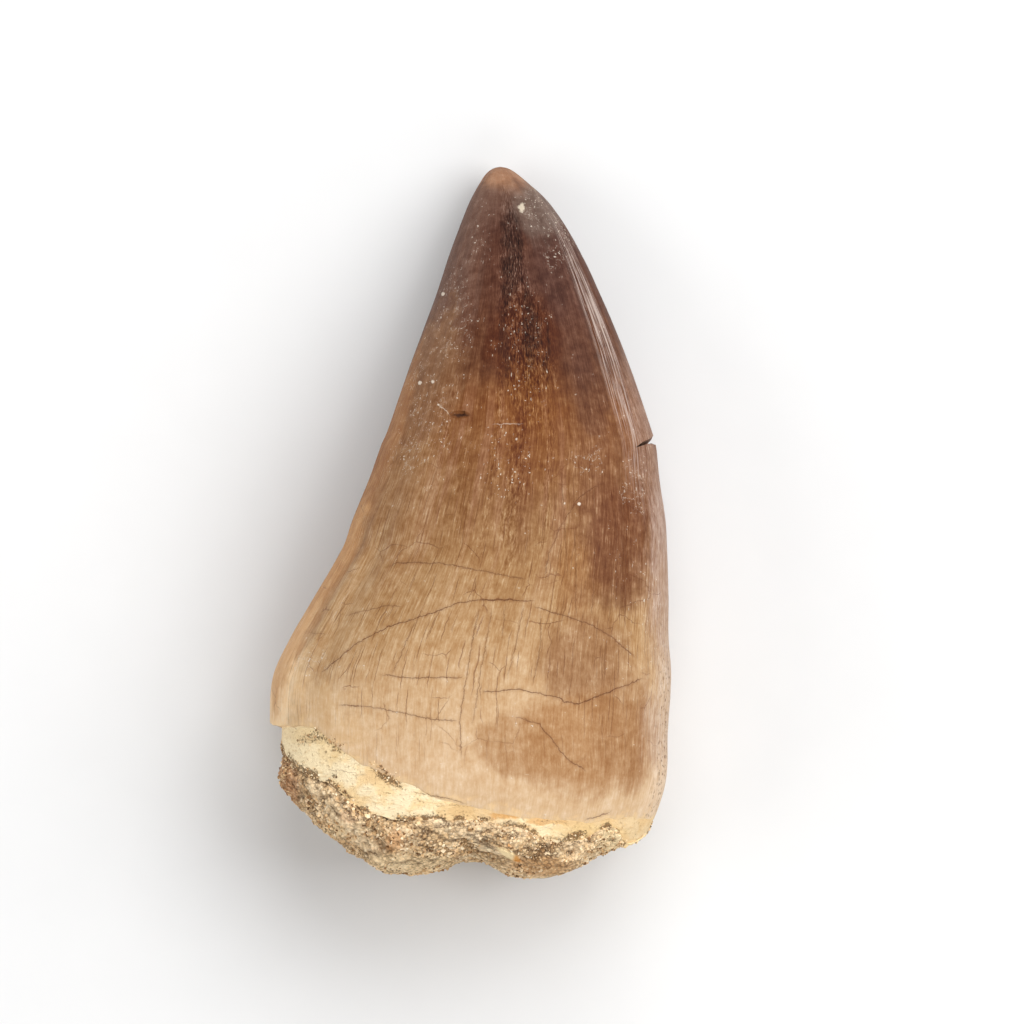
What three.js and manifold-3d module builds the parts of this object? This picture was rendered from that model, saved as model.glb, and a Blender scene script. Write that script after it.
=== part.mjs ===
// A fossil mosasaur tooth: one broad crown, broken off below the enamel, with sandy rock still cemented to its base.
// It lies on its inner side, outer face up. Millimetres, +Z up, tip towards +Y, and the origin is on the surface
// that it rests on, under the middle of the piece.
//
// Two solids: "tooth" is the enamel crown with the dentine that shows below it, and "matrix" is the sandy rock
// that fills the break. The tooth is a skin of rings around its long axis, and the rock is a ball pulled into shape.

import * as THREE from "three";
import Module from "manifold-3d";
import { mergeVertices } from "three/addons/utils/BufferGeometryUtils.js";

// ---- Driving dimensions ----

const LENGTH = 55; // tip to the lowest lump of rock
const TIP_Y = LENGTH / 2;
const GAP = 0.3; // clearance between the tooth and the rock

// The crown, station by station from the tip: distance from the tip, left edge, right edge, top, underside.
// An underside below zero is where the rounded belly is worn away to the flat that it rests on.
const STATIONS = [
  [0, 2.3, 2.3, 2.7, 2.7],
  [0.5, 1.25, 3.55, 4.1, 1.6],
  [1.3, 0.7, 4.5, 5.1, 1.2],
  [2.6, 0.0, 5.9, 6.3, 0.9],
  [4.3, -0.7, 7.15, 7.8, 0.8],
  [6.9, -1.65, 8.6, 9.5, 0.75],
  [10.5, -2.85, 10.3, 11.6, 0.8],
  [15, -4.5, 12.1, 14.0, 0.9],
  [20.4, -6.35, 13.95, 16.3, 0.6],
  [21.6, -6.9, 14.3, 16.8, 0.5],
  [24.2, -7.85, 14.6, 17.7, 0.2],
  [27.3, -9.1, 15.05, 18.7, -0.1],
  [29.6, -9.9, 15.15, 19.4, -0.4],
  [33.5, -12.2, 15.3, 20.2, -0.6],
  [36.6, -14.0, 15.3, 20.6, -0.7],
  [39.5, -15.25, 15.45, 20.8, -0.7],
  [43.5, -15.45, 15.2, 20.7, -0.6],
  [47.5, -15.35, 15.05, 20.2, -0.1],
  [51, -14.4, 13.9, 19.2, 1.0],
  [53, -13.5, 12.7, 18.4, 1.8],
  [55, -12.4, 11.2, 17.4, 2.6],
];

// Section across the tooth: a superellipse above its widest line and another one below it.
const WIDEST = 0.45; // height of the widest line, as a share of the thickness
const UPPER_FULLNESS = 2.35;
const LOWER_FULLNESS = 2.15;

// Cutting edges (carinae): a low crest on each shoulder, with a shallow furrow beside it on the upper face.
const CREST_ANGLE = 33; // degrees up from the widest line, on both sides
const CREST_HEIGHT = 0.32;
const CREST_SPREAD = 3.5; // degrees
const FURROW_DEPTH = 0.26;
const FURROW_OFFSET = 9; // degrees from the crest, towards the middle of the face
const FURROW_SPREAD = 5;
const CREST_FULL = 12; // distance from the tip where the crests reach their full height
const CREST_ENDS = 40; // distance from the tip where they have died away

// Broad facets (prisms) along the upper face.
const FACETS = 7;
const FACET_DEPTH = 0.1;

// Lower margin of the enamel and of the dentine, as distance from the tip against the angle round the section.
// 0 degrees is the right edge, 90 the top, 180 the left edge and 270 the underside.
const ENAMEL_MARGIN = [
  [0, 50.3],
  [30, 50.1],
  [60, 50.4],
  [80, 49.9],
  [95, 48.6],
  [115, 47.0],
  [140, 44.9],
  [165, 43.1],
  [185, 43.1],
  [215, 44.0],
  [250, 44.6],
  [290, 45.4],
  [330, 48.6],
  [360, 50.3],
];
const DENTINE_MARGIN = [
  [0, 51.2],
  [15, 52.3],
  [28, 52.6],
  [42, 51.0],
  [54, 52.1],
  [66, 52.1],
  [78, 51.0],
  [95, 50.5],
  [120, 50.1],
  [140, 48.5],
  [160, 46.4],
  [180, 45.4],
  [215, 46.4],
  [250, 47.2],
  [290, 48.2],
  [330, 50.4],
  [360, 51.2],
];
const ENAMEL_STEP = 0.35; // how far the dentine lies below the enamel
const LEFT_STEP = 0.6; // extra step on the left, where the enamel overhangs
const LEDGE = 0.25; // length of the slope between the two

// Fracture across the right edge: a wedge-shaped gap, as its outline seen from above.
const NOTCH = [
  [12.55, 5.8],
  [15.2, 6.15],
  [15.2, 7.0],
];
const NOTCH_BOTTOM = 5;
const NOTCH_TOP = 16;

// Sandy rock: how far it reaches from the tip across the width, and how blunt its end is.
const ROCK_END = [
  [-16, 52.4],
  [-12, 52.8],
  [-9.3, 53.8],
  [-6.5, 54.9],
  [-3.6, 54.6],
  [-1.4, 53.7],
  [0.8, 53.5],
  [3, 54.5],
  [5.6, 55.1],
  [7.6, 54.6],
  [9.2, 53.9],
  [12, 52.8],
  [16, 51.8],
];
const ROCK_BLUNTNESS = 2.6;
const ROCK_INSET = 0.1; // how far its rim lies inside the dentine's skin
const ROCK_BULGE = 0.35; // how far its flank stands out again below the rim
const ROCK_AXIS = [0.4, 8.6]; // x and z of the middle of the broken end
const ROCK_CLEARANCE = 0.2; // least height of the rock above the surface that the tooth rests on

// Lumps of the rock, coarse and fine: size across, and height.
const LUMPS = [
  [4.4, 1.0],
  [2.4, 0.5],
];

const LUMP_MEAN = 0.6; // height that is taken off, so that the lumps swell and sink about the plain shape

// Mesh density, and the distance within which points are one point.
const COLUMNS = 76;
const CROWN_ROWS = 36;
const DENTINE_ROWS = 3;
const BASE_ROWS = 4;
const ROCK_DETAIL = 19; // cuts along each edge of the ball that the rock is made from
const MERGE_DISTANCE = 1e-4;
const EQUATOR = 1e-6; // height on that ball above which a point lies against the break

// ---- Curves ----

// A smooth curve through [x, y...] rows: cubic pieces with the slopes of their neighbours' chords.
function curveThrough(rows) {
  const slope = (i, k) => {
    const before = rows[Math.max(i - 1, 0)];
    const after = rows[Math.min(i + 1, rows.length - 1)];
    return (after[k] - before[k]) / (after[0] - before[0]);
  };
  return (x) => {
    let i = rows.findIndex((row) => row[0] >= x);
    i = THREE.MathUtils.clamp(i < 0 ? rows.length - 1 : i, 1, rows.length - 1);
    const [a, b] = [rows[i - 1], rows[i]];
    const span = b[0] - a[0];
    const s = THREE.MathUtils.clamp((x - a[0]) / span, 0, 1);
    return a.slice(1).map((_, j) => {
      const k = j + 1;
      const bend = s * s * (3 - 2 * s);
      const leave = s * (1 - s) * (1 - s) * span * slope(i - 1, k);
      const arrive = s * s * (1 - s) * span * slope(i, k);
      return a[k] * (1 - bend) + b[k] * bend + leave - arrive;
    });
  };
}

// The tip is round: its width grows with the square root of the distance, so its stations are spaced that way.
const rounding = (distance) => Math.sqrt(distance / LENGTH);
const stationAt = curveThrough(
  STATIONS.map(([distance, ...sizes]) => [rounding(distance), ...sizes]),
);
const enamelMarginAt = curveThrough(ENAMEL_MARGIN);
const dentineMarginAt = curveThrough(DENTINE_MARGIN);
const rockEndAt = curveThrough(ROCK_END);

const bell = (offset, spread) => Math.exp(-((offset / spread) ** 2));
const smooth = (from, to, value) =>
  THREE.MathUtils.smoothstep(value, from, to);

// ---- Shape of the tooth ----

// Height of crests, furrows and facets above the plain section, at an angle round it and a distance from the tip.
function relief(angle, distance) {
  if (angle > 180) return 0;
  const fromCrest = Math.min(angle, 180 - angle) - CREST_ANGLE;
  const crest = CREST_HEIGHT * bell(fromCrest, CREST_SPREAD);
  const furrow = FURROW_DEPTH * bell(fromCrest - FURROW_OFFSET, FURROW_SPREAD);
  const facets =
    FACET_DEPTH *
    Math.cos(THREE.MathUtils.degToRad(angle * 2 * FACETS)) *
    smooth(CREST_ANGLE, CREST_ANGLE + FURROW_OFFSET, Math.min(angle, 180 - angle));
  const strength =
    smooth(0, CREST_FULL, distance) *
    (1 - smooth(CREST_ENDS - 10, CREST_ENDS, distance));
  return (crest - furrow + facets) * strength;
}

// A point of the skin, sunk by inset below the enamel.
function skinPoint(distance, angle, inset = 0) {
  const [left, right, top, underside] = stationAt(rounding(distance));
  const turn = THREE.MathUtils.degToRad(angle);
  const across = Math.cos(turn);
  const up = Math.sin(turn);
  const widest = underside + WIDEST * (top - underside);
  const fullness = up > 0 ? UPPER_FULLNESS : LOWER_FULLNESS;
  const height = up > 0 ? top - widest : widest - underside;
  const rise = relief(angle, distance) - inset;
  const halfWidth = (right - left) / 2;
  const x =
    (halfWidth * Math.abs(across) ** (2 / fullness) + rise * Math.abs(across)) *
    Math.sign(across);
  const z =
    (height * Math.abs(up) ** (2 / fullness) + rise * Math.abs(up)) *
    Math.sign(up);
  return [(left + right) / 2 + x, TIP_Y - distance, widest + z];
}

const restOn = (level, [x, y, z]) => [x, y, Math.max(z, level)];

// Angles of the columns: closer together where a crest needs them.
function columnAngles() {
  const steps = 3600;
  const weights = Array.from({ length: steps }, (_, i) => {
    const angle = (360 * i) / steps;
    const nearCrest =
      bell(angle - CREST_ANGLE, 12) + bell(angle - (180 - CREST_ANGLE), 12);
    return 1 + 1.5 * nearCrest;
  });
  const total = weights.reduce((sum, w) => sum + w, 0);
  const angles = [];
  let passed = 0;
  weights.forEach((weight, i) => {
    if ((passed * COLUMNS) / total >= angles.length && angles.length < COLUMNS)
      angles.push((360 * i) / steps);
    passed += weight;
  });
  return angles;
}

const ANGLES = columnAngles();
const ring = (pointAt) => ANGLES.map((angle) => pointAt(angle));

function enamelStepAt(angle) {
  return ENAMEL_STEP + LEFT_STEP * bell(angle - 180, 35);
}

// The broken face across the base, from its rim (share 1) to its middle (share 0).
function breakPoint(angle, share, inset, drop) {
  const margin = dentineMarginAt(angle)[0];
  const [x, , z] = restOn(0, skinPoint(margin, angle, inset));
  const middle = dentineMarginAt(90)[0] - 2.2;
  const distance = THREE.MathUtils.lerp(middle, margin, share ** 1.5) + drop;
  return [
    THREE.MathUtils.lerp(ROCK_AXIS[0], x, share),
    TIP_Y - distance,
    THREE.MathUtils.lerp(ROCK_AXIS[1], z, share),
  ];
}

function toothRings() {
  const rings = [];
  for (let row = 1; row <= CROWN_ROWS; row++) {
    const share = (row / CROWN_ROWS) ** 1.5;
    rings.push(
      ring((angle) => skinPoint(enamelMarginAt(angle)[0] * share, angle)),
    );
  }
  for (let row = 0; row <= DENTINE_ROWS; row++) {
    rings.push(
      ring((angle) => {
        const start = enamelMarginAt(angle)[0] + LEDGE;
        const end = Math.max(dentineMarginAt(angle)[0], start + LEDGE);
        const distance = THREE.MathUtils.lerp(start, end, row / DENTINE_ROWS);
        return skinPoint(distance, angle, enamelStepAt(angle));
      }),
    );
  }
  for (let row = 1; row < BASE_ROWS; row++) {
    rings.push(
      ring((angle) =>
        breakPoint(angle, 1 - row / BASE_ROWS, enamelStepAt(angle), 0),
      ),
    );
  }
  return rings.map((points) => points.map((point) => restOn(0, point)));
}

// ---- Shape of the rock ----

// A number from 0 to 1 that is always the same for the same three whole numbers.
function scatter(i, j, k) {
  const mixed = Math.sin(i * 127.1 + j * 311.7 + k * 74.7) * 43758.5453;
  return mixed - Math.floor(mixed);
}

// Lumps of one size, 1 on the crown of a lump and falling towards the creases between them.
function lumpsOfSize(size, point) {
  const cell = point.map((value) => Math.floor(value / size));
  let nearest = Infinity;
  for (let step = 0; step < 27; step++) {
    const corner = cell.map((value, k) => value + (Math.floor(step / 3 ** k) % 3) - 1);
    const [i, j, k] = corner;
    const seed = [scatter(i, j, k), scatter(j, k, i + 9), scatter(k, i, j + 5)];
    const apart = seed.map((value, n) => (corner[n] + value) * size - point[n]);
    nearest = Math.min(nearest, Math.hypot(...apart) / size);
  }
  return 1 - nearest ** 1.5;
}

function lumpHeight(point) {
  return LUMPS.reduce(
    (sum, [size, height]) => sum + height * (lumpsOfSize(size, point) - LUMP_MEAN),
    0,
  );
}

function rockPoint(angle, along) {
  const margin = dentineMarginAt(angle)[0];
  const inset = enamelStepAt(angle) + ROCK_INSET;
  const [rimX, , rimZ] = restOn(0, skinPoint(margin, angle, inset));
  const share = (1 - along ** ROCK_BLUNTNESS) ** (1 / ROCK_BLUNTNESS);
  const x = THREE.MathUtils.lerp(ROCK_AXIS[0], rimX, share);
  const z = THREE.MathUtils.lerp(ROCK_AXIS[1], rimZ, share);
  const distance = THREE.MathUtils.lerp(margin + GAP, rockEndAt(x)[0], along);
  const rough = lumpHeight([x, distance, z]) * smooth(0, 0.4, along);
  const bulge = ROCK_BULGE * smooth(0, 0.3, along);
  const outward = new THREE.Vector2(x - ROCK_AXIS[0], z - ROCK_AXIS[1]);
  outward.setLength(share * (rough + bulge));
  return restOn(ROCK_CLEARANCE, [
    x + outward.x,
    TIP_Y - distance - along * rough,
    z + outward.y,
  ]);
}

// ---- Geometry ----

// A closed skin over rings of points that run away from the first point to the last one.
function skinOver(firstPoint, rings, lastPoint) {
  const points = [firstPoint, ...rings.flat(), lastPoint];
  const at = (row, column) => 1 + row * COLUMNS + (column % COLUMNS);
  const faces = [];
  for (let column = 0; column < COLUMNS; column++) {
    const next = column + 1;
    faces.push(0, at(0, next), at(0, column));
    for (let row = 0; row < rings.length - 1; row++) {
      const [a, b] = [at(row, column), at(row, next)];
      const [c, d] = [at(row + 1, column), at(row + 1, next)];
      faces.push(a, b, d, a, d, c);
    }
    const last = rings.length - 1;
    faces.push(at(last, column), at(last, next), points.length - 1);
  }
  const geometry = new THREE.BufferGeometry();
  geometry.setAttribute(
    "position",
    new THREE.Float32BufferAttribute(points.flat(), 3),
  );
  geometry.setIndex(faces);
  return geometry;
}

const wasm = await Module();
wasm.setup();

// Points and faces alone, with each point stored once.
function bareMesh(geometry) {
  const bare = geometry.clone();
  bare.deleteAttribute("normal");
  bare.deleteAttribute("uv");
  return mergeVertices(bare, MERGE_DISTANCE);
}

function solidFrom(geometry) {
  const merged = bareMesh(geometry);
  return new wasm.Manifold(
    new wasm.Mesh({
      numProp: 3,
      vertProperties: merged.attributes.position.array,
      triVerts: new Uint32Array(merged.index.array),
    }),
  );
}

function geometryFrom(solid) {
  const { vertProperties, triVerts } = solid.getMesh();
  const geometry = new THREE.BufferGeometry();
  geometry.setAttribute(
    "position",
    new THREE.Float32BufferAttribute(vertProperties, 3),
  );
  geometry.setIndex(new THREE.Uint32BufferAttribute(triVerts, 1));
  geometry.computeVertexNormals();
  return geometry;
}

function notchGeometry() {
  const outline = new THREE.Shape(NOTCH.map(([x, y]) => new THREE.Vector2(x, y)));
  const wedge = new THREE.ExtrudeGeometry(outline, {
    depth: NOTCH_TOP - NOTCH_BOTTOM,
    bevelEnabled: false,
  });
  return wedge.translate(0, 0, NOTCH_BOTTOM);
}

function toothGeometry() {
  const [x, , top] = STATIONS[0].slice(1);
  const tip = [x, TIP_Y, top];
  const middle = breakPoint(0, 0, 0, 0);
  const whole = solidFrom(skinOver(tip, toothRings(), middle));
  return geometryFrom(whole.subtract(solidFrom(notchGeometry())));
}

// The rock is a ball pulled into shape: the half towards the tip lies against the break, the other half is outside.
function rockGeometry() {
  const ball = bareMesh(new THREE.OctahedronGeometry(1, ROCK_DETAIL));
  const points = ball.attributes.position;
  for (let i = 0; i < points.count; i++) {
    const [u, v, w] = [points.getX(i), points.getY(i), points.getZ(i)];
    const angle = (THREE.MathUtils.radToDeg(Math.atan2(w, u)) + 360) % 360;
    const inside = breakPoint(angle, Math.hypot(u, w), enamelStepAt(angle), GAP);
    const outside = rockPoint(angle, Math.abs(v) ** (2 / ROCK_BLUNTNESS));
    points.setXYZ(i, ...(v > EQUATOR ? inside : outside));
  }
  return ball;
}

// ---- The part ----

const enamel = new THREE.MeshStandardMaterial({
  color: 0xb5895f,
  roughness: 0.35,
  metalness: 0,
});
const sandyRock = new THREE.MeshStandardMaterial({
  color: 0xb99a70,
  roughness: 0.95,
  metalness: 0,
});

const tooth = new THREE.Mesh(toothGeometry(), enamel);
tooth.name = "tooth";
const matrix = new THREE.Mesh(rockGeometry(), sandyRock);
matrix.name = "matrix";

const part = new THREE.Group();
part.add(tooth, matrix);

// The origin is under the middle of the whole piece.
const extent = new THREE.Box3().setFromObject(part);
const middle = extent.getCenter(new THREE.Vector3());
part.position.set(-middle.x, -middle.y, -extent.min.z);

export default part;
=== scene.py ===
"""A fossil mosasaur tooth lying on its side, with sandy rock on its broken base. Blender 4.5, metres, +Z up.

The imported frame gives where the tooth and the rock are. This script gives their looks: the crown with its
crests, its cracked and striated enamel, the dentine below it, the rock, and the sand grains on the rock.
Shapes are worked out in millimetres in the maker's frame: x across, distance down from the tip, z up.
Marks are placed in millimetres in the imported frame: x across, y towards the tip.
"""

import bmesh
import bpy
import numpy as np
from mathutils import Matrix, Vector

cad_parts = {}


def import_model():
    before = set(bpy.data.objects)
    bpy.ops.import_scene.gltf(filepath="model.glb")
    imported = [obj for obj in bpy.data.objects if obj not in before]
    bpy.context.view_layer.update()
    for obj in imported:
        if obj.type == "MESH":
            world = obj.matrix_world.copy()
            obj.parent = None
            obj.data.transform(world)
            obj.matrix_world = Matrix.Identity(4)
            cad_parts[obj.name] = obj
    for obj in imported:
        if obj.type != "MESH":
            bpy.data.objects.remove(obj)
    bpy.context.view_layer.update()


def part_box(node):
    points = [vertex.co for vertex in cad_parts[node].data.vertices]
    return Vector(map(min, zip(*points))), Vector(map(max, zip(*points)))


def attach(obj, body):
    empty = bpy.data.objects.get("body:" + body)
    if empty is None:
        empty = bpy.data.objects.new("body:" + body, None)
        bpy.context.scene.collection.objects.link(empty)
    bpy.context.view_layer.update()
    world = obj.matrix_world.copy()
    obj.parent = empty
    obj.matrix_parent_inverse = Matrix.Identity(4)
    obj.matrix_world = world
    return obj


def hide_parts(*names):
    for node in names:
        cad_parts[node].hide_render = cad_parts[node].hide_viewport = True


MM = 0.001

# ---- Shape of the crown, as in the frame's solids ----

# distance from the tip: left edge, right edge, top, underside
STATIONS = [
    (0, 2.3, 2.3, 2.7, 2.7),
    (0.5, 1.25, 3.55, 4.1, 1.6),
    (1.3, 0.7, 4.5, 5.1, 1.2),
    (2.6, 0.0, 5.9, 6.3, 0.9),
    (4.3, -0.7, 7.15, 7.8, 0.8),
    (6.9, -1.65, 8.6, 9.5, 0.75),
    (10.5, -2.85, 10.3, 11.6, 0.8),
    (15, -4.5, 12.1, 14.0, 0.9),
    (20.4, -6.35, 13.95, 16.3, 0.6),
    (21.6, -6.9, 14.3, 16.8, 0.5),
    (24.2, -7.85, 14.6, 17.7, 0.2),
    (27.3, -9.1, 15.05, 18.7, -0.1),
    (29.6, -9.9, 15.15, 19.4, -0.4),
    (33.5, -12.2, 15.3, 20.2, -0.6),
    (36.6, -14.0, 15.3, 20.6, -0.7),
    (39.5, -15.25, 15.45, 20.8, -0.7),
    (43.5, -15.45, 15.2, 20.7, -0.6),
    (47.5, -15.35, 15.05, 20.2, -0.1),
    (51, -14.4, 13.9, 19.2, 1.0),
    (53, -13.5, 12.7, 18.4, 1.8),
    (55, -12.4, 11.2, 17.4, 2.6),
]
LENGTH = 55
WIDEST = 0.45  # height of the widest line of a section, as a share of its thickness
UPPER_FULLNESS = 2.35
LOWER_FULLNESS = 2.15

# Margins: degrees round the section (0 right edge, 90 top, 180 left edge, 270 underside), and distance
# from the tip.
ENAMEL_MARGIN = [
    (0, 50.3),
    (30, 50.1),
    (60, 50.4),
    (80, 49.8),
    (95, 48.7),
    (106, 47.3),
    (120, 45.8),
    (131, 44.1),
    (140, 43.2),
    (165, 43.1),
    (185, 43.1),
    (215, 44.0),
    (250, 44.6),
    (290, 45.4),
    (330, 48.6),
    (360, 50.3),
]
DENTINE_MARGIN = [
    (0, 51.2),
    (15, 52.3),
    (28, 52.6),
    (42, 51.0),
    (54, 52.1),
    (66, 52.1),
    (78, 51.0),
    (95, 50.4),
    (110, 50.4),
    (121, 49.3),
    (133, 47.4),
    (146, 46.6),
    (160, 45.3),
    (180, 44.9),
    (215, 46.4),
    (250, 47.2),
    (290, 48.2),
    (330, 50.4),
    (360, 51.2),
]
ENAMEL_STEP = 0.04  # thickness of the enamel at its margin
LEFT_STEP = 0.9  # what is added to it on the left, where it overhangs
STEP_SPREAD = 22  # degrees
LEDGE = 0.12  # length of the slope under the margin
# How the margins wander, as waves: size, height.
MARGIN_WANDER = [(2.2, 0.4), (0.7, 0.24)]
DENTINE_WANDER = [(1.3, 0.5), (0.45, 0.35)]
WANDER_AT = 45  # distance from the tip of the girth along which these waves are measured
# Sand that laps onto the dentine: distances from its margin between which the sand thickens, noise values
# between which it covers, and the size of its bare patches.
RIM_SAND = (0.7, 0.1)
RIM_SAND_COVER = (0.35, 0.6)
RIM_SAND_PATCH = 0.8
ON_SKIN = (0.86, 0.92)  # shares of the way out from the middle between which the skin begins
UPPER_FACE = (-0.1, 0.15)  # sines of the angle round the section between which the upper face begins
BREAK_DEPTH = 2.2  # how far the middle of the broken base lies above its rim
BREAK_HOLLOW = 1.5  # above 1, it is flat in the middle and steeper towards its rim

# Cutting edges, and the broad facets between them.
CREST_ANGLE = 33  # degrees up from the widest line
CREST_HEIGHT = 0.32
CREST_SPREAD = 3.5
FURROW_DEPTH = 0.26
FURROW_OFFSET = 9
FURROW_SPREAD = 5
# Distances from the tip between which each crest rises, and between which it fades, and its strength.
RIGHT_CREST = (0, 12, 30, 40, 1.0)
LEFT_CREST = (24, 33, 38, 45, 0.6)
FACETS = 7
FACET_DEPTH = 0.06
RIDGE_HEIGHT = 0.045  # fine ridges that run beside the right crest
RIDGE_PERIOD = 1.9  # degrees
WEAR = [(5.0, 0.10), (1.6, 0.035), (0.6, 0.012)]  # unevenness of the whole skin: size, height
WEAR_SETS_IN = 3  # distance from the tip at which it is full

# Notch in the right edge, seen from above: x, y.
NOTCH = [
    (12.6, 5.75),
    (13.1, 6.12),
    (13.65, 6.38),
    (13.95, 6.66),
    (14.15, 6.95),
    (15.6, 7.6),
    (15.6, 5.6),
    (14.5, 5.75),
    (14.2, 5.98),
    (13.6, 6.05),
    (13.15, 5.9),
]
NOTCH_MOUTH = (15.6, 6.4)
# Layers of the notch: height, and share of its outline.
NOTCH_LAYERS = [(3.8, 0.3), (4.9, 0.65), (6.6, 0.92), (12.4, 1.0), (15.6, 0.9)]

# Rock: x, and distance from the tip that it reaches.
ROCK_END = [
    (-16, 52.4),
    (-12, 52.8),
    (-9.3, 53.8),
    (-6.5, 54.9),
    (-3.6, 54.6),
    (-1.4, 53.7),
    (0.8, 53.5),
    (3, 54.5),
    (5.6, 55.1),
    (7.6, 54.6),
    (9.2, 53.9),
    (12, 52.8),
    (16, 51.8),
]
ROCK_BLUNTNESS = 2.6
ROCK_STEP = 0.3  # how far the rock's rim lies below the enamel, on top of the step on the left
ROCK_BULGE = 0.4
ROCK_TUCK = (0.65, 0.3)  # how far its rim is tucked in under the dentine: along, and inwards
ROCK_AXIS = (0.4, 8.6)
ROCK_CLEARANCE = 0.3
ROCK_CALM = 0.95  # share of its roughness that it loses at the right edge, about this angle, in degrees
ROCK_CALM_ANGLE = 5
ROCK_CALM_SPREAD = 32
# Shares of the way out from the rim at which the rock's forms are full, and at which its tuck ends.
LUMPS_FULL = 0.4
GRAVEL_FULL = 0.15
BULGE_FULL = 0.3
TUCK_ENDS = 0.25
# Its lumps and its gravel: size, height.
LUMPS = [(4.4, 1.0), (2.4, 0.5)]
GRAVEL = [(1.1, 0.27), (0.5, 0.28), (0.24, 0.18)]
DARK_RIM = 0.08  # how much more of the gravel near the tooth counts as lying in a gap, and so gets the painted shade of the creases
DARK_RIM_FADE = (0.6, 0.1)  # shares of the way out from the rim at which this is gone and is full
FLAKE = (0.6, 1.0, 1.0)  # the gravel lies in flakes, longer across the tooth
LUMP_MEAN = 0.6  # height that is taken off, so that lumps swell and sink about the plain shape

# Shards of bone in the rock, where no sand sticks, seen from above: x, y, half length, half width, and
# degrees turned.
SHARDS = [(2.95, -25.5, 1.05, 0.3, -32), (12.7, -24.2, 0.9, 1.5, 0)]
SHARD_RISE = 0.3
# Crusts of sand on the dentine, in the same way.
CRUSTS = [(-6.4, -19.4, 1.25, 0.42, -35), (8.0, -24.1, 0.8, 0.3, 20)]
THIN_CRUSTS = [(-12.0, -16.5, 1.2, 0.5, 18), (-10.4, -17.1, 0.8, 0.45, -45), (-10.6, -19.5, 0.45, 0.22, 0)]
THIN_CRUST = 0.36  # how densely these cover the dentine, next to the others
CRUST_EDGE = 0.6  # softness of their edges
# Hollows in the rock: x, y, half length, half width, degrees turned.
HOLLOWS = [(-0.1, -24.9, 0.7, 0.35, -35), (-6.5, -25.0, 0.7, 0.3, -30), (7.4, -25.2, 0.6, 0.35, 25)]
HOLLOW_DEPTH = 0.6

# Mesh density.
COLUMNS = 430
CROWN_ROWS = 190
LEDGE_ROWS = 3
DENTINE_ROWS = 14
BREAK_ROWS = 7
CREST_COLUMNS = 12  # degrees to each side of a crest in which columns are closer
UNDERSIDE_COLUMNS = 0.4  # columns on a degree of the underside, as a share of those on the upper face
CLOSER_AT_TIP = 1.25  # above 1, rows are closer towards the tip
ROCK_CUTS = 6
OUTSIDE_CUTS = 2  # more cuts on the half of the rock that shows
CHIP_CUTS = 4
# Degrees between two faces above which their edge stays sharp.
TOOTH_SHARP = 38
ROCK_SHARP = 60

# ---- Cracks, seen from above ----

# Each set holds cracks that don't meet: strength, and points x, y. A crack that meets another is in
# another set.
CRACK_SETS = [
    [
        (0.7, [(-6.4, -3.5), (-5.7, -3.1), (-2.4, -3.1), (0.9, -3.7), (4.5, -4.4)]),
        (
            1.0,
            [
                (-11.6, -11.7), (-8.8, -9.3), (-6.3, -8.0), (-3.4, -7.1),
                (-1.0, -6.2), (0.9, -5.9), (5.1, -6.0),
            ],
        ),
        (
            1.0,
            [
                (0.7, -13.0), (3.8, -12.8), (7.0, -13.5), (7.2, -13.8),
                (8.4, -13.9), (10.7, -13.0), (13.5, -11.9),
            ],
        ),
        (0.8, [(-10.4, -14.0), (-7.3, -14.2), (-3.0, -15.1), (-0.8, -15.2)]),
        (0.9, [(-4.7, -20.6), (-2.2, -21.1), (-0.1, -21.6)]),
        (0.6, [(-11.2, -18.9), (-9.7, -19.1), (-7.8, -19.5)]),
        (0.8, [(8.5, -22.9), (9.8, -22.6), (11.1, -22.1)]),
        (0.6, [(13.9, -8.0), (14.4, -7.5)]),
        (0.7, [(-6.1, 0.5), (-5.5, 0.4)]),
    ],
    [
        (0.9, [(4.7, -6.4), (7.0, -7.1), (9.0, -7.7), (10.6, -8.6), (12.8, -10.5)]),
        (0.8, [(-7.1, -11.6), (-4.9, -11.9), (-0.3, -11.9)]),
        (0.8, [(3.2, -14.8), (5.3, -15.5), (7.5, -18.2), (9.1, -19.2)]),
        (0.7, [(5.7, -4.4), (6.0, -2.4), (7.1, 0), (8.4, 2.0), (10.2, 3.1)]),
        (0.6, [(-9.8, -7.2), (-6.5, -6.4), (-5.0, -6.4)]),
        (0.5, [(-9.8, -3.7), (-9.2, -3.6)]),
    ],
    [
        (0.7, [(0.7, -6.4), (0.1, -9.4), (-0.4, -12.6), (-0.8, -15.2), (-0.7, -18.3)]),
        (0.6, [(-6.1, -11.8), (-4.1, -7.4)]),
        (0.45, [(2.7, -6.1), (2.4, -9.2)]),
        (0.6, [(5.4, -6.8), (5.4, -9.4), (4.8, -12.6)]),
        (0.5, [(6.9, 4.4), (7.2, 0.5), (7.5, -4.6)]),
        (0.55, [(9.5, 3.0), (9.6, -3.0), (9.3, -7.3)]),
        (0.5, [(-12.8, -8.4), (-10.8, -8.6)]),
    ],
    [
        (0.4, [(0.5, -4.1), (0.1, -6.2)]),
        (0.6, [(1.7, -6.4), (0.9, -10.8), (0.4, -14.2), (0.1, -15.6)]),
        (0.5, [(4.1, -6.1), (3.7, -8.4), (2.8, -12.2)]),
        (0.5, [(8.1, -0.9), (8.1, -7.4)]),
        (0.5, [(11.3, 0.8), (11.2, -7.0)]),
        (0.4, [(-15.3, -13.8), (-14.3, -13.8)]),
    ],
]
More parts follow.
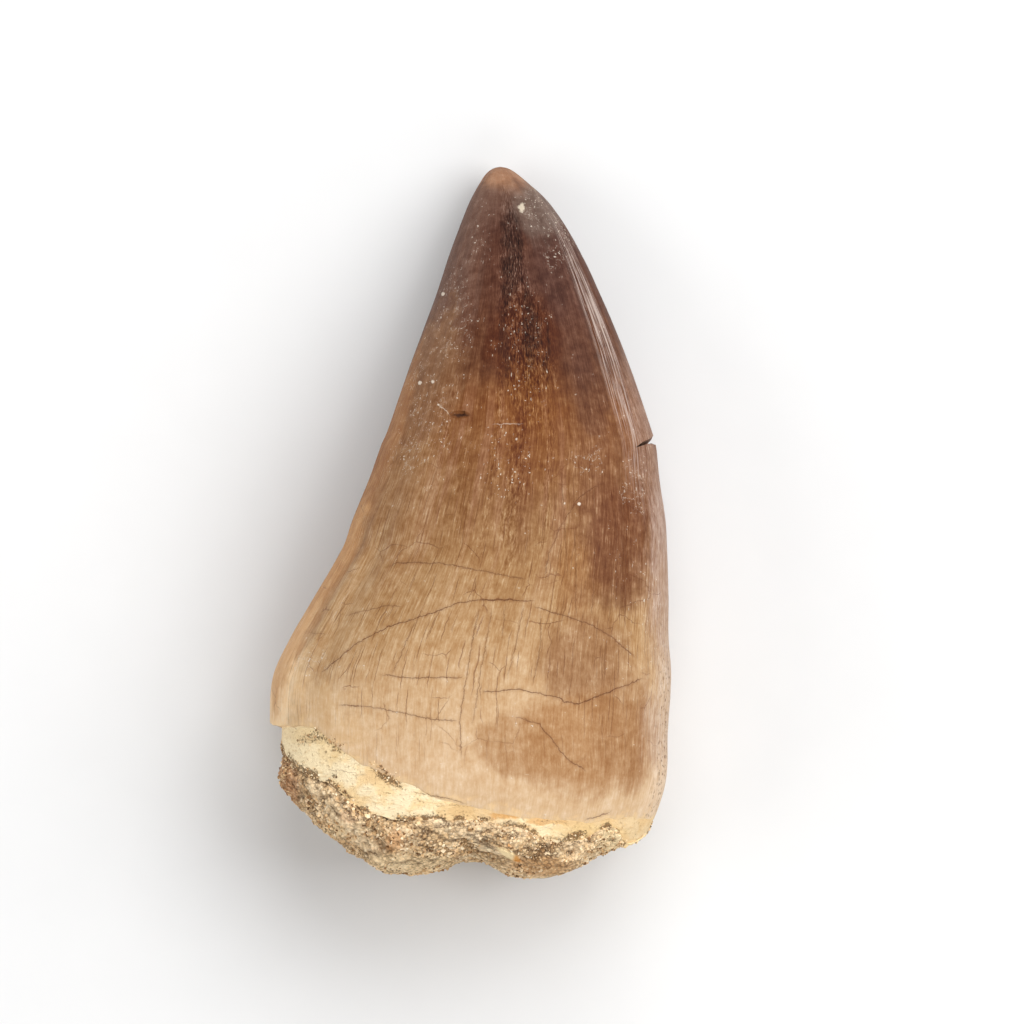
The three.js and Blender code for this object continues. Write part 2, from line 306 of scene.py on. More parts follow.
# Pale scratches, in the same way.
SCRATCHES = [
    (0.9, [(-2.8, 9.4), (-1.9, 8.6), (-1.3, 8.0)]),
    (0.6, [(1.5, 7.6), (4.2, 7.55)]),
    (0.6, [(-1.05, 11.7), (-1.0, 10.9)]),
    (0.5, [(-9.2, -5.0), (-10.9, -8.0)]),
]
CRACK_TAPER = 0.8  # how far before its end a crack fades
CRACK_REACH = 0.6  # how far to its sides a crack's field reaches
CRACK_WIDTH = 0.04
CRACK_STAIN_WIDTH = 0.22
CRACK_WANDER = 0.5
LONG_CRACKS = [(2.6, 0.5), (1.5, 0.56)]  # spacing in degrees, and how rare they are
LONG_CRACK_WIDTH = 0.15  # degrees
CRAZE_CELL = 3.2

# ---- Colours, as red, green and blue from 0 to 255 ----

PALE_FLOOR = (221, 221, 221)
PALER_FLOOR = (224, 224, 224)
TIP_TAN = (157, 115, 87)
TIP_MAUVE = (112, 82, 68)
DARK_PLUM = (86, 54, 42)
UMBER = (88, 50, 31)
CHESTNUT = (108, 62, 36)
TAN_BROWN = (121, 75, 40)
MUD_BROWN = (136, 98, 68)
GOLD_BROWN = (170, 118, 73)
HONEY = (154, 116, 76)
LIGHT_TAN = (170, 134, 94)
PALE_TAN = (188, 154, 116)
PALE_CREAM = (200, 168, 132)
MARGIN_CREAM = (202, 171, 135)
LEFT_CREAM = (214, 180, 138)
STREAK_BROWN = (42, 18, 10)
WARM_DARK = (78, 34, 10)
CRACK_BROWN = (104, 56, 34)
# Painted highlight: the pale grey of the lines on the right crest.
SHEEN_GREY = (200, 182, 172)
# Partly the right flank's own tone, partly painted sheen.
FLANK_PINK_AND_SHEEN = (178, 151, 136)
DUST_WHITE = (236, 222, 204)
SPOT_WHITE = (214, 200, 178)
# Near-black brown of the chip's middle, partly painted shade in the pit.
CHIP_BROWN_AND_SHADE = (44, 20, 10)
CHIP_RED = (106, 62, 30)
PORE_BROWN = (124, 90, 60)
BLOTCH_RED = (104, 60, 35)
MAUVE_BROWN = (132, 88, 66)

# Colour of the enamel against the distance from the tip.
ENAMEL_COLOURS = [
    (0, TIP_TAN),
    (0.9, TIP_TAN),
    (2.2, TIP_MAUVE),
    (5, DARK_PLUM),
    (12, UMBER),
    (15.5, (94, 56, 34)),
    (18.5, TAN_BROWN),
    (26, (134, 94, 58)),
    (31, HONEY),
    (36, LIGHT_TAN),
    (41, PALE_TAN),
    (46, PALE_CREAM),
    (50, MARGIN_CREAM),
]
# Patches that follow the crown's girth: degrees, distance, half width in degrees, half length, edge,
# colour, strength.
GIRTH_PATCHES = [
    (148, 8.5, 30, 8, 0.6, TIP_MAUVE, 0.75),
    (146, 16.5, 28, 5.5, 0.6, MUD_BROWN, 0.75),
    (168, 24, 20, 10, 0.4, GOLD_BROWN, 0.6),
    (134, 26.5, 20, 5.5, 0.7, (158, 120, 84), 0.6),
    (58, 9, 18, 7, 0.6, (86, 56, 47), 0.5),
    (56, 17.5, 12, 3.4, 0.5, DARK_PLUM, 0.45),
    # A faint painted highlight along the right crest.
    (34, 12, 4.5, 12, 0.6, SHEEN_GREY, 0.1),
    (146, 44.5, 30, 5, 0.6, LEFT_CREAM, 0.6),
    # Painted light: a pale cream patch that lightens the lower left flank, which the lamps light less.
    (164, 39.3, 17, 5, 0.5, (246, 212, 168), 0.8),
    (166, 34, 15, 8, 0.4, (198, 150, 101), 0.75),
    (142, 34, 12, 4.5, 0.7, (184, 148, 108), 0.6),
    (154, 34.5, 4, 4.5, 0.8, (136, 92, 58), 0.3),
    (250, 15, 30, 5, 0.7, MUD_BROWN, 0.5),
    (-50, 24, 26, 8, 0.7, CHESTNUT, 0.5),
    (225, 33, 24, 7, 0.7, GOLD_BROWN, 0.5),
    (-70, 41, 30, 5, 0.7, LIGHT_TAN, 0.5),
]
# Patches along the right flank, over the others, in the same way: the flank's own pinkish grey, lightened
# with a painted sheen of the lamps on the side facing right.
FLANK_TONE_AND_SHEEN = [
    (4, 22, 30, 8, 0.45, (150, 120, 104), 0.7),
    (0, 32, 32, 8, 0.42, FLANK_PINK_AND_SHEEN, 0.75),
    (0, 43, 29, 6.5, 0.42, (204, 180, 158), 0.75),
    (6, 48.5, 22, 3, 0.5, (222, 195, 164), 0.7),
]
# Patches seen from above: x, y, half width, half height, edge, colour, strength.
PLAN_PATCHES = [
    (3.2, 17.6, 1.9, 6.8, 0.7, (80, 44, 30), 0.6),
    (5.7, 18.4, 1.9, 3.9, 0.6, (72, 43, 34), 0.58),
    (3.1, 21.0, 0.75, 3.6, 0.6, STREAK_BROWN, 0.78),
    (4.3, 13.6, 2.8, 4.0, 0.45, WARM_DARK, 0.8),
    (8.6, 11.4, 2.4, 4.2, 0.6, (84, 48, 30), 0.42),
    (8.3, -4.2, 1.8, 3.2, 0.6, (138, 92, 50), 0.6),
    (-2.7, -5.2, 2.8, 2.6, 0.6, (172, 138, 100), 0.35),
    (4.6, 14.4, 0.45, 3.8, 0.6, STREAK_BROWN, 0.55),
    (5.75, 13.2, 0.2, 3.2, 0.6, STREAK_BROWN, 0.45),
    (2.7, 14.4, 0.35, 3.8, 0.6, STREAK_BROWN, 0.4),
    (4.4, 7.2, 3.2, 4.8, 0.8, (113, 63, 22), 0.64),
    (3.9, 3.0, 0.9, 5.0, 0.8, CHESTNUT, 0.3),
    (11.0, 2.4, 3.0, 6.0, 0.7, (116, 74, 50), 0.45),
    (11.6, -1.6, 2.8, 4.8, 0.6, BLOTCH_RED, 0.75),
    (11.0, -5.2, 3.2, 1.5, 0.5, BLOTCH_RED, 0.3),
    (8.8, -10.6, 3.4, 3.6, 0.5, (132, 90, 56), 0.7),
    (9.4, -17.0, 6.2, 3.8, 0.5, (156, 111, 68), 0.75),
    (12.0, -15.8, 2.6, 4.4, 0.6, (142, 99, 62), 0.5),
    (4.0, -17.2, 3.4, 2.5, 0.32, (160, 118, 78), 0.6),
    (5.2, 24.2, 1.7, 2.4, 0.6, (112, 96, 86), 0.55),
]
# Band of fine bright lines on the right crest, painted as a highlight of the lamps on its striations:
# degrees, distance, half width in degrees, half length, edge.
SHEEN_BAND = (35, 9.5, 8.5, 13, 0.5)
# Rough columns of short dashes: degrees, distance, half width in degrees, half length, strength.
ROUGH_COLUMNS = [
    (92, 8, 8, 6, 1.3),
    (86, 14, 10, 5, 1.1),
    (96.3, 22, 1.3, 7, 0.7),
    (89.3, 23, 2.2, 8, 0.75),
    (79.5, 22, 1.3, 7, 0.55),
    (120, 20, 2, 4, 0.4),
    (20, 26, 13, 16, 0.45),
]
# Places with more dust than elsewhere, seen from above: x, y, half width, half height, strength.
DUSTY_PLACES = [
    (-3.3, 9.6, 2.2, 6.4, 0.6),
    (-4.8, 5.0, 1.3, 1.7, 1.0),
    (9.2, 4.6, 1.5, 1.0, 1.0),
    (5.4, 24.4, 1.6, 2.0, 1.0),
    (6.9, 21.4, 1.1, 2.6, 0.9),
    (12.6, 3.0, 1.0, 3.0, 0.8),
    (12.6, -6.6, 1.7, 6.5, 0.4),
    (4.2, 13.4, 2.0, 5.5, 0.5),
    (-12.2, -10.6, 1.1, 1.2, 1.0),
    (2.8, 4.4, 3.0, 3.0, 0.5),
    (-1.2, 15.6, 1.6, 4.4, 0.7),
    (0.9, 22.0, 1.0, 2.6, 0.5),
]
# Pale crumbs on the enamel: x, y, half width.
CRUMBS = [(-2.12, 17.63, 0.15), (8.37, 1.43, 0.13), (-3.9, 10.76, 0.15), (-2.9, 10.84, 0.12)]
MARK_DEPTH = 0.5  # how far above and below the skin such a mark reaches
SPOT = (3.95, 24.3, 0.22, 0.48)  # pale oval spot near the tip: x, y, half width, half height
CHIP = (-0.85, 8.3, 0.84, 0.32)  # small dark pit in the enamel, in the same way
CHIP_SHADED_CORE = (-0.72, 8.26, 0.6, 0.13)  # its dark middle, where painted shade deepens the pit's own dark brown
CHIP_DEPTH = 0.16
CHIP_WAVES = [(0.3, 0.25)]  # unevenness of the pit: size, and height as a share of the pit's own measures

DENTINE_CREAM = (244, 212, 160)
DENTINE_PALE = (250, 230, 190)
DENTINE_TAN = (214, 172, 116)
DENTINE_ORANGE = (216, 162, 98)
CRUST_BROWN = (112, 80, 48)
CRUST_HALO = (200, 158, 104)
# Patches on the dentine, seen from above: x, y, half width, half height, edge, colour, strength.
DENTINE_PATCHES = [
    (1.6, -22.0, 3.6, 0.9, 0.6, DENTINE_TAN, 0.6),
    (3.0, -22.2, 1.4, 0.6, 0.5, DENTINE_ORANGE, 0.8),
    (6.0, -22.9, 1.8, 0.4, 0.5, DENTINE_ORANGE, 0.7),
    # Painted light: the left end of the dentine is made paler to stand in for light that the lamps give it
    # too little of.
    (-12.9, -17.4, 2.6, 2.2, 0.5, (255, 233, 190), 1.0),
    (11.2, -23.2, 4.8, 1.3, 0.6, (218, 180, 128), 0.6),
    (-12.2, -16.4, 1.8, 0.7, 0.7, (226, 190, 130), 0.45),
    (-10.6, -17.4, 1.0, 1.2, 0.7, (226, 190, 130), 0.4),
    (-6.4, -19.4, 1.8, 0.7, 0.7, (224, 186, 134), 0.6),
    (9.0, -23.8, 3.0, 0.7, 0.7, (228, 196, 138), 0.5),
]
ROCK_TAN = (254, 228, 188)
ROCK_BROWN = (224, 188, 142)
ROCK_SHADE = (78, 50, 28)
# Stained and paler places on the rock, as patches seen from above.
ROCK_PATCHES = [
    (-14.3, -20.5, 1.1, 2.6, 0.7, (180, 116, 72), 0.6),
    (-5.8, -24.5, 0.7, 1.0, 0.6, (224, 158, 96), 0.55),
    (-10.5, -23.7, 0.9, 0.6, 0.5, (254, 222, 172), 0.5),
    (-9.3, -22.6, 0.8, 0.5, 0.5, (232, 186, 144), 0.5),
    (5.5, -26.4, 2.4, 0.8, 0.6, (212, 160, 106), 0.6),
    (-4.7, -26.2, 3.2, 1.0, 0.6, (255, 226, 178), 0.5),
    (11.2, -24.6, 1.4, 1.2, 0.6, (252, 226, 176), 0.6),
]
SHARD_CREAM = (252, 226, 176)
SHARD_ORANGE = (222, 158, 84)
SHARD_END = (3.7, -25.95, 0.4, 0.5)  # the stained end of the shard: x, y, half width, half height
# Colours of the grains, against a number from 0 to 1 that each grain draws.
GRAIN_COLOURS = [
    (0.0, (92, 62, 36)),
    (0.22, (156, 118, 78)),
    (0.42, (210, 172, 124)),
    (0.74, (242, 212, 166)),
    (0.95, (252, 236, 204)),
    (1.0, (218, 160, 100)),
]

# ---- Fine structure of the surfaces ----

# Streaks along the crown: lines per mm, and how many times longer than wide they are.
FINE_STREAKS = (6.0, 9.0)
SILK_STREAKS = (8.0, 36.0)
BROAD_BANDS = (0.7, 9.0)
DASHES = (10.0, 4.0)
# Specks: spacing, radius, and the share of them that shows.
DUST_SPECKS = (0.26, 0.085, 0.45)
DUST_DASHES = (0.28, 0.07, 0.5)
DUST_DASH_STRETCH = 2.5
FLANK_PORES = (0.34, 0.17, 0.8)
DENTINE_PITS = (0.7, 0.1, 0.3)
DENTINE_FIBRES = (0.5, 0.1, 0.5)
SPECK_SIZES = (0.5, 1.0)  # radius of the smallest and the largest, as shares of the radius given
SPECK_STRENGTHS = (0.3, 1.0)
# Where a speck or a line is gone and where it is solid, as shares of its radius or its width.
SPECK_EDGE = (1.0, 0.6)
HAIRLINE_EDGE = (1.1, 0.5)
LONG_CRACK_EDGE = (1.0, 0.4)
CRAZE_EDGE = (1.0, 0.3)
THREAD_EDGE = (0.015, 0.006)  # the same for the threads of dust, in values of their noise
# Stretches of the crown, as distances from the tip at which one begins, is full, starts to fade, and ends.
MAUVE_STRETCH = (15, 19, 26, 38)
MID_CROWN = (14, 20, 34, 44)
LOW_CROWN = (16, 29, 40, 49)
# Distances from the tip at which something begins and is full.
PAST_TIP = (1, 6)
BANDS_SET_IN = (2, 9)
PALE_LINES_SET_IN = (12, 30)
PORES_SET_IN = (33, 40)
PORE_DEGREES = (25, 13)  # degrees round the section at which the pores of the right flank begin and are full
# How far places are shaken, so that what lies on them gets an uneven outline. Round the girth, the same
# number is degrees too.
GIRTH_SHAKE = 8.0
PLAN_SHAKE = 2.4
FLANK_SHAKE = 5.0
DUST_SHAKE = 3.0
DASH_SHAKE = 0.2
CRUMB_SHAKE = 0.15
MARK_SHAKE = 0.35
CRAZE_SHAKE = 1.2
DENTINE_SHAKE = 1.6
ROCK_SHAKE = 0.35
COLOUR_SHIFT = 2.4  # how far the bands and the soft noise carry the enamel's colours up and down the crown
FRAY = 0.14  # how much the edge of a patch frays along the streaks
FINE_FRAY = 0.08
ANY_HEIGHT = 99  # half height of a patch that reaches through the whole tooth
# Long cracks: how much they wander, in degrees; the shares of its stripe between which one lies; how often
# per mm one may break off, and how softly; and how far apart stripes lie in the noise that breaks them off.
LONG_CRACK_WANDER = 1.6
LONG_CRACK_PLACES = (0.2, 0.8)
LONG_CRACK_BREAKS = 0.3
LONG_CRACK_FADE = 0.12
STRIPES_APART = 7.3
CRACK_OPENNESS = (0.3, 1.6)  # smallest and largest strength along a crack, as shares of its own strength
# How much the streaks, dashes and clouds deepen the enamel's colour.
FINE_DEPTH = (0.5, 0.85)  # near its ends, and in the middle of the crown
BAND_DEPTH = 0.35
CLOUD_DEPTH = 0.8
DASH_DEPTH = 0.4
ROUGH_DEPTH = 1.9  # what the rough columns add to the depth of the dashes
PALENESS = (0.04, 0.24)  # of the pale lines: near the tip, and lower down
# The creamy margin of the enamel: how far it wanders, where it begins and is full, and its strength.
CREAMY_WANDER = 3.0
CREAMY_EDGE = (0.5, -0.4)
CREAMY_SHARE = 0.45
MAUVE_SHARE = 0.35
# Strength of the painted highlight on the right crest.
SHEEN_SHARE = 0.7
THREAD_STRENGTH = 0.5
DUSTY_WEIGHT = 0.28  # how much more dust a dusty place shows, next to the clouds
# Softness of the edges of small marks.
OVAL_EDGE = 0.5
CRUMB_EDGE = 0.3
SPOT_EDGE = 0.35
CHIP_EDGE = 0.15
CHIP_SHADED_CORE_EDGE = 0.5
SHARD_END_EDGE = 0.4
# How the dentine's layers and fibres are drawn out, as factors along x, y and z: the smaller, the longer.
LAYER_STRETCH = (0.5, 4.0, 2.0)
FIBRE_STRETCH = (0.3, 1.3, 0.6)
ROCK_CELLS_PER_MM = 4.0
DARK_STRENGTHS = (0.3, 1.0)  # weakest and strongest painted shade of the rock's gaps and creases

# ---- Sand grains ----

ROCK_GRAIN_SIZE = (0.04, 0.15)  # smallest and largest half width
CRUST_GRAIN_SIZE = (0.03, 0.1)
GRAIN_RARITY = 1.8  # above 1, large grains are rarer than small ones
GRAINS_PER_MM2 = 16
CRUST_GRAINS_PER_MM2 = 45
BARE_CEMENT = (0.42, 0.62, 1.5)  # noise values between which grains begin to cover the cement, and its scale
GRAIN_SEED = 5
GRAIN_CUBE = (1.6, 1.6, 1.6)  # the cube that a grain is made from, next to the grain's half width
# Smallest and largest share of a grain's size: its sides, and how deep it is sunk. Below 0, it stands proud.
GRAIN_SIDES = (0.4, 1.3)
GRAIN_SINKS = (-0.2, 0.5)
FULL_TURN = 6.3  # radians

# ---- Camera, floor and light ----

LENS = 1000  # long, because the view shows next to no perspective
SENSOR = 36
VIEW_WIDTH = 79.0  # width of the view at the outline's height
OUTLINE_HEIGHT = 9.0
VIEW_CENTRE = (3.2, 0.81)
VIEW_DEPTH = 10  # metres
FLOOR_SIZE = 3.0  # metres
FLOOR_DROP = 0.05  # how far the floor lies below the tooth's flat face
LAMP_DISTANCE = 0.5  # metres
LAMP_SIZE = 0.42
# Round soft lamps: degrees from +X towards +Y, degrees up, watts.
LAMPS = [(15, 50, 1.66), (75, 50, 1.54), (185, 34, 0.9), (285, 36, 0.92)]
SKY_BRIGHTNESS = 0.21


# ---- Plain mathematics ----


def curve_through(rows, at):
    """Smooth curves through rows of (place, value, ...): their values at some places, one array per value."""
    table = np.array(rows, float)
    places, values = table[:, 0], table[:, 1:]
    index = np.arange(len(rows))
    before = np.maximum(index - 1, 0)
    after = np.minimum(index + 1, len(rows) - 1)
    slopes = (values[after] - values[before]) / (places[after] - places[before])[:, None]
    upper = np.clip(np.searchsorted(places, at), 1, len(rows) - 1)
    lower = upper - 1
    span = (places[upper] - places[lower])[..., None]
    s = np.clip((np.asarray(at) - places[lower])[..., None] / span, 0, 1)
    bend = s * s * (3 - 2 * s)
    leave = s * (1 - s) ** 2 * span * slopes[lower]
    arrive = s * s * (1 - s) * span * slopes[upper]
    result = values[lower] * (1 - bend) + values[upper] * bend + leave - arrive
    return np.moveaxis(result, -1, 0)


def margin_of(rows, angle):
    return curve_through(rows, angle)[0]


def rounding(distance):
    """The scale along which the rounded tip is a straight line."""
    return np.sqrt(np.maximum(distance, 0) / LENGTH)


def stations(distance):
    """Left edge, right edge, top and underside at distances from the tip."""
    rows = [(rounding(row[0]), *row[1:]) for row in STATIONS]
    return curve_through(rows, rounding(distance))


def bell(offset, spread):
    return np.exp(-((offset / spread) ** 2))


def smooth(start, end, value):
    s = np.clip((value - start) / (end - start), 0, 1)
    return s * s * (3 - 2 * s)


def mix(a, b, share):
    return a + (b - a) * share


def scatter(i, j, k):
    """A number from 0 to 1 that is always the same for the same three whole numbers."""
    mixed = np.sin(i * 127.1 + j * 311.7 + k * 74.7) * 43758.5453
    return mixed - np.floor(mixed)


def soft_noise(points, size):
    """Smooth noise from 0 to 1 with bumps of about the given size, at an array of points."""
    place = points / size
    cell = np.floor(place)
    share = smooth(0, 1, place - cell)
    total = np.zeros(len(points))
    for corner in np.ndindex(2, 2, 2):
        weight = np.prod(np.where(corner, share, 1 - share), axis=1)
        total += weight * scatter(*(cell + corner).T)
    return total


def unevenness(points, waves):
    """Smooth ups and downs about zero, made of waves: size, height."""
    return sum(height * (soft_noise(points, size) - 0.5) for size, height in waves)


def lumps_of_size(points, size):
    """Rounded lumps: 1 on the crown of a lump, falling towards the creases between them."""
    cell = np.floor(points / size)
    nearest = np.full(len(points), np.inf)
    for step in range(27):
        corner = cell + [(step // 3**axis) % 3 - 1 for axis in range(3)]
        i, j, k = corner.T
        seed = np.stack([scatter(i, j, k), scatter(j, k, i + 9), scatter(k, i, j + 5)], axis=1)
        apart = (corner + seed) * size - points
        nearest = np.minimum(nearest, np.linalg.norm(apart, axis=1) / size)
    return 1 - nearest**1.5


def lump_height(points, lumps):
    return sum(height * (lumps_of_size(points, size) - LUMP_MEAN) for size, height in lumps)


def patch_cover(points, patches, edge=0.35):
    """How much soft ovals (x, y, half length, half width, degrees turned) cover points, from 0 to 1."""
    cover = np.zeros(len(points))
    for x, y, half_length, half_width, turned in patches:
        cosine, sine = np.cos(np.radians(turned)), np.sin(np.radians(turned))
        across, up = points[:, 0] - x, points[:, 1] - y
        lengthwise = (across * cosine + up * sine) / half_length
        sideways = (up * cosine - across * sine) / half_width
        cover = np.maximum(cover, smooth(1 + edge, 1 - edge, np.hypot(lengthwise, sideways)))
    return cover


def crack_field(points, cracks):
    """How far each point lies to one side of the nearest crack, and how strong that crack is there."""
    offset = np.zeros(len(points))
    strength = np.zeros(len(points))
    nearest = np.full(len(points), np.inf)
    for full_strength, line in cracks:
        corners = np.array(line)
        steps = np.diff(corners, axis=0)
        lengths = np.linalg.norm(steps, axis=1)
        passed = np.concatenate([[0], np.cumsum(lengths)])
        for start, step, length, before in zip(corners, steps, lengths, passed):
            from_start = points - start
            share = np.clip(from_start @ step / length**2, 0, 1)
            apart = np.linalg.norm(from_start - share[:, None] * step, axis=1)
            side = np.sign(step[0] * from_start[:, 1] - step[1] * from_start[:, 0])
            run = before + share * length
            taper = smooth(0, CRACK_TAPER, run) * smooth(0, CRACK_TAPER, passed[-1] - run)
            closer = apart < nearest
            nearest = np.where(closer, apart, nearest)
            offset = np.where(closer, side * apart, offset)
            strength = np.where(closer, full_strength * taper, strength)
    return offset, strength * smooth(CRACK_REACH, CRACK_REACH / 2, nearest)


# ---- Skin of the crown ----


def rise_and_fade(distance, starts, full, fades, ends, strength):
    return strength * smooth(starts, full, distance) * (1 - smooth(fades, ends, distance))


def relief(angle, distance):
    """Height of crests, furrows, facets and fine ridges above the plain section."""
    right_side = angle < 90
    folded = np.where(right_side, angle, 180 - angle)
    from_crest = folded - CREST_ANGLE
    crest = CREST_HEIGHT * bell(from_crest, CREST_SPREAD)
    furrow = FURROW_DEPTH * bell(from_crest - FURROW_OFFSET, FURROW_SPREAD)
    ripples = np.cos(2 * np.pi * folded / RIDGE_PERIOD)
    ridges = RIDGE_HEIGHT * ripples * bell(from_crest, FURROW_OFFSET) * right_side
    waves = np.cos(np.radians(angle * 2 * FACETS))
    facets = FACET_DEPTH * waves * smooth(CREST_ANGLE, CREST_ANGLE + FURROW_OFFSET, folded)
    right_strength = rise_and_fade(distance, *RIGHT_CREST)
    strength = np.where(right_side, right_strength, rise_and_fade(distance, *LEFT_CREST))
    lines = (crest - furrow + ridges) * strength + facets * right_strength
    return np.where(angle > 180, 0, lines)


def plain_skin(distance, angle, inset=0.0):
    """Points of the crown's skin, sunk by inset below the enamel: x, distance, z."""
    distance, angle, inset = np.broadcast_arrays(distance, angle, inset)
    left, right, top, underside = stations(distance)
    across = np.cos(np.radians(angle))
    up = np.sin(np.radians(angle))
    widest = mix(underside, top, WIDEST)
    fullness = np.where(up > 0, UPPER_FULLNESS, LOWER_FULLNESS)
    height = np.where(up > 0, top - widest, widest - underside)
    rise = relief(angle, distance) - inset
    half_width = (right - left) / 2
    x = (half_width * np.abs(across) ** (2 / fullness) + rise * np.abs(across)) * np.sign(across)
    z = (height * np.abs(up) ** (2 / fullness) + rise * np.abs(up)) * np.sign(up)
    return np.stack([(left + right) / 2 + x, distance, np.maximum(widest + z, 0)], axis=-1)


def worn_skin(distance, angle, inset=0.0):
    """The same with the small unevenness that wear and burial left, which fades at the very tip."""
    points = plain_skin(distance, angle)
    uneven = unevenness(points, WEAR) * smooth(0, WEAR_SETS_IN, points[:, 1])
    return plain_skin(distance, angle, inset + uneven)


def step_at(angle, step):
    """How far a surface lies below the enamel, which overhangs on the left."""
    return step + LEFT_STEP * bell(angle - 180, STEP_SPREAD)


def column_angles():
    """Angles of the columns: closest on the upper face, and closer still where a crest needs them."""
    angle = np.linspace(0, 360, 3600, endpoint=False)
    near_right = bell(angle - CREST_ANGLE, CREST_COLUMNS)
    near_left = bell(angle - (180 - CREST_ANGLE), CREST_COLUMNS)
    weight = np.where(angle < 180, 1.0, UNDERSIDE_COLUMNS) + (near_right + near_left)
    passed = np.cumsum(weight) / weight.sum()
    return np.interp((np.arange(COLUMNS) + 0.5) / COLUMNS, passed, angle)


def break_middle():
    """The middle of the broken base: x, distance, z."""
    return np.array([ROCK_AXIS[0], margin_of(DENTINE_MARGIN, 90.0) - BREAK_DEPTH, ROCK_AXIS[1]])


def broken_face(rim, share):
    """Points of the hollow broken base between its middle (share 0) and its rim (share 1)."""
    middle = break_middle()
    share = np.broadcast_to(share, len(rim))[:, None]
    face = mix(middle, rim, share)
    face[:, 1] = mix(middle[1], rim[:, 1], share[:, 0] ** BREAK_HOLLOW)
    return face


def even_shares(count):
    """Even shares up to 1, without 0."""
    return np.arange(1, count + 1) / count


def tooth_rings(angles):
    """Rings of points from just under the tip, over enamel and dentine, to near the break's middle."""
    girth_line = plain_skin(WANDER_AT, angles)
    enamel_end = margin_of(ENAMEL_MARGIN, angles) + unevenness(girth_line, MARGIN_WANDER)
    dentine_end = margin_of(DENTINE_MARGIN, angles) + unevenness(girth_line, DENTINE_WANDER)
    dentine_end = np.maximum(dentine_end, enamel_end + 2 * LEDGE)
    step = step_at(angles, ENAMEL_STEP)
    crown = [worn_skin(enamel_end * share, angles) for share in even_shares(CROWN_ROWS) ** CLOSER_AT_TIP]
    ledge = [worn_skin(enamel_end + LEDGE * share, angles, step * share) for share in even_shares(LEDGE_ROWS)]
    dentine_at = [mix(enamel_end + LEDGE, dentine_end, share) for share in even_shares(DENTINE_ROWS)]
    dentine = [worn_skin(distance, angles, step) for distance in dentine_at]
    face = [broken_face(dentine[-1], 1 - row / BREAK_ROWS) for row in range(1, BREAK_ROWS)]
    return np.array(crown + ledge + dentine + face)


# ---- Meshes ----


def to_frame(points, shift):
    """Points from the maker's frame (x, distance, z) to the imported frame, in metres."""
    x, distance, z = points.T
    return np.stack([x + shift[0], shift[1] - distance, z], axis=1) * MM


def new_piece(name, vertices, faces):
    mesh = bpy.data.meshes.new(name)
    mesh.from_pydata(vertices.tolist(), [], faces)
    return linked(name, mesh)


def linked(name, data):
    thing = bpy.data.objects.new(name, data)
    bpy.context.scene.collection.objects.link(thing)
    return thing


def vertices_of(mesh):
    flat = np.empty(len(mesh.vertices) * 3)
    mesh.vertices.foreach_get("co", flat)
    return flat.reshape(-1, 3)


def store(piece, name, values):
    """Keeps one value or vector for each vertex, for the materials and the grains to read."""
    kind, key = ("FLOAT", "value") if values.ndim == 1 else ("FLOAT_VECTOR", "vector")
    attribute = piece.data.attributes.new(name, kind, "POINT")
    attribute.data.foreach_set(key, values.astype(np.float32).ravel())


def smooth_shade(piece, sharp_degrees):
    piece.data.shade_smooth()
    piece.data.set_sharp_from_angle(angle=np.radians(sharp_degrees))


def evaluated_mesh(piece):
    """The piece's mesh with its modifiers applied."""
    graph = bpy.context.evaluated_depsgraph_get()
    finished = piece.evaluated_get(graph)
    return bpy.data.meshes.new_from_object(finished, preserve_all_data_layers=True, depsgraph=graph)


def skin_faces(rows):
    """Faces of a closed skin: a first point, rows of rings, and a last point."""
    at = 1 + np.arange(rows)[:, None] * COLUMNS + np.arange(COLUMNS)
    after = np.roll(at, -1, axis=1)
    last = rows * COLUMNS + 1
    first_fan = [(0, b, a) for a, b in zip(at[0].tolist(), after[0].tolist())]
    quads = np.stack([at[:-1], after[:-1], after[1:], at[1:]], axis=-1).reshape(-1, 4)
    last_fan = [(a, b, last) for a, b in zip(at[-1].tolist(), after[-1].tolist())]
    return first_fan + quads.tolist() + last_fan


def carve(tooth, cutter):
    """Cuts the shape of a cutter out of the tooth."""
    shape = bmesh.new()
    shape.from_mesh(cutter.data)
    bmesh.ops.recalc_face_normals(shape, faces=shape.faces)
    shape.to_mesh(cutter.data)
    shape.free()
    cut = tooth.modifiers.new("cut", "BOOLEAN")
    cut.object = cutter
    cut.solver = "EXACT"
    cut_mesh = evaluated_mesh(tooth)
    tooth.modifiers.clear()
    tooth.data = cut_mesh
    bpy.data.objects.remove(cutter)


def notch_wedge():
    """The wedge that the notch in the right edge leaves open, shallower towards its upper and lower ends."""
    count = len(NOTCH)
    mouth = np.array(NOTCH_MOUTH)
    vertices = []
    for height, share in NOTCH_LAYERS:
        outline = mouth + (np.array(NOTCH) - mouth) * share
        vertices += [(x, y, height) for x, y in outline]
    layers = range(0, len(vertices) - count, count)
    corners = [(i, (i + 1) % count) for i in range(count)]
    sides = [(low + i, low + count + i, low + count + j, low + j) for low in layers for i, j in corners]
    last = len(vertices) - 1
    return new_piece("wedge", np.array(vertices) * MM, [range(count), range(last, last - count, -1), *sides])


def chip_lens(tooth):
    """A lens that lies half sunk in the outer face, where the chip is."""
    x, y, half_width, half_height = CHIP
    skin = vertices_of(tooth.data) / MM
    near = np.hypot((skin[:, 0] - x) / half_width, (skin[:, 1] - y) / half_height) < 1
    heights = skin[near, 2]
    top = heights[heights > heights.mean()].mean()
    lens = linked("lens", even_ball("lens", CHIP_CUTS))
    points = vertices_of(lens.data) * (half_width, half_height, CHIP_DEPTH)
    swelling = 1 + unevenness(points + (x, y, 0), CHIP_WAVES)
    points = points * swelling[:, None] + (x, y, top)
    lens.data.vertices.foreach_set("co", (points * MM).ravel())
    return lens


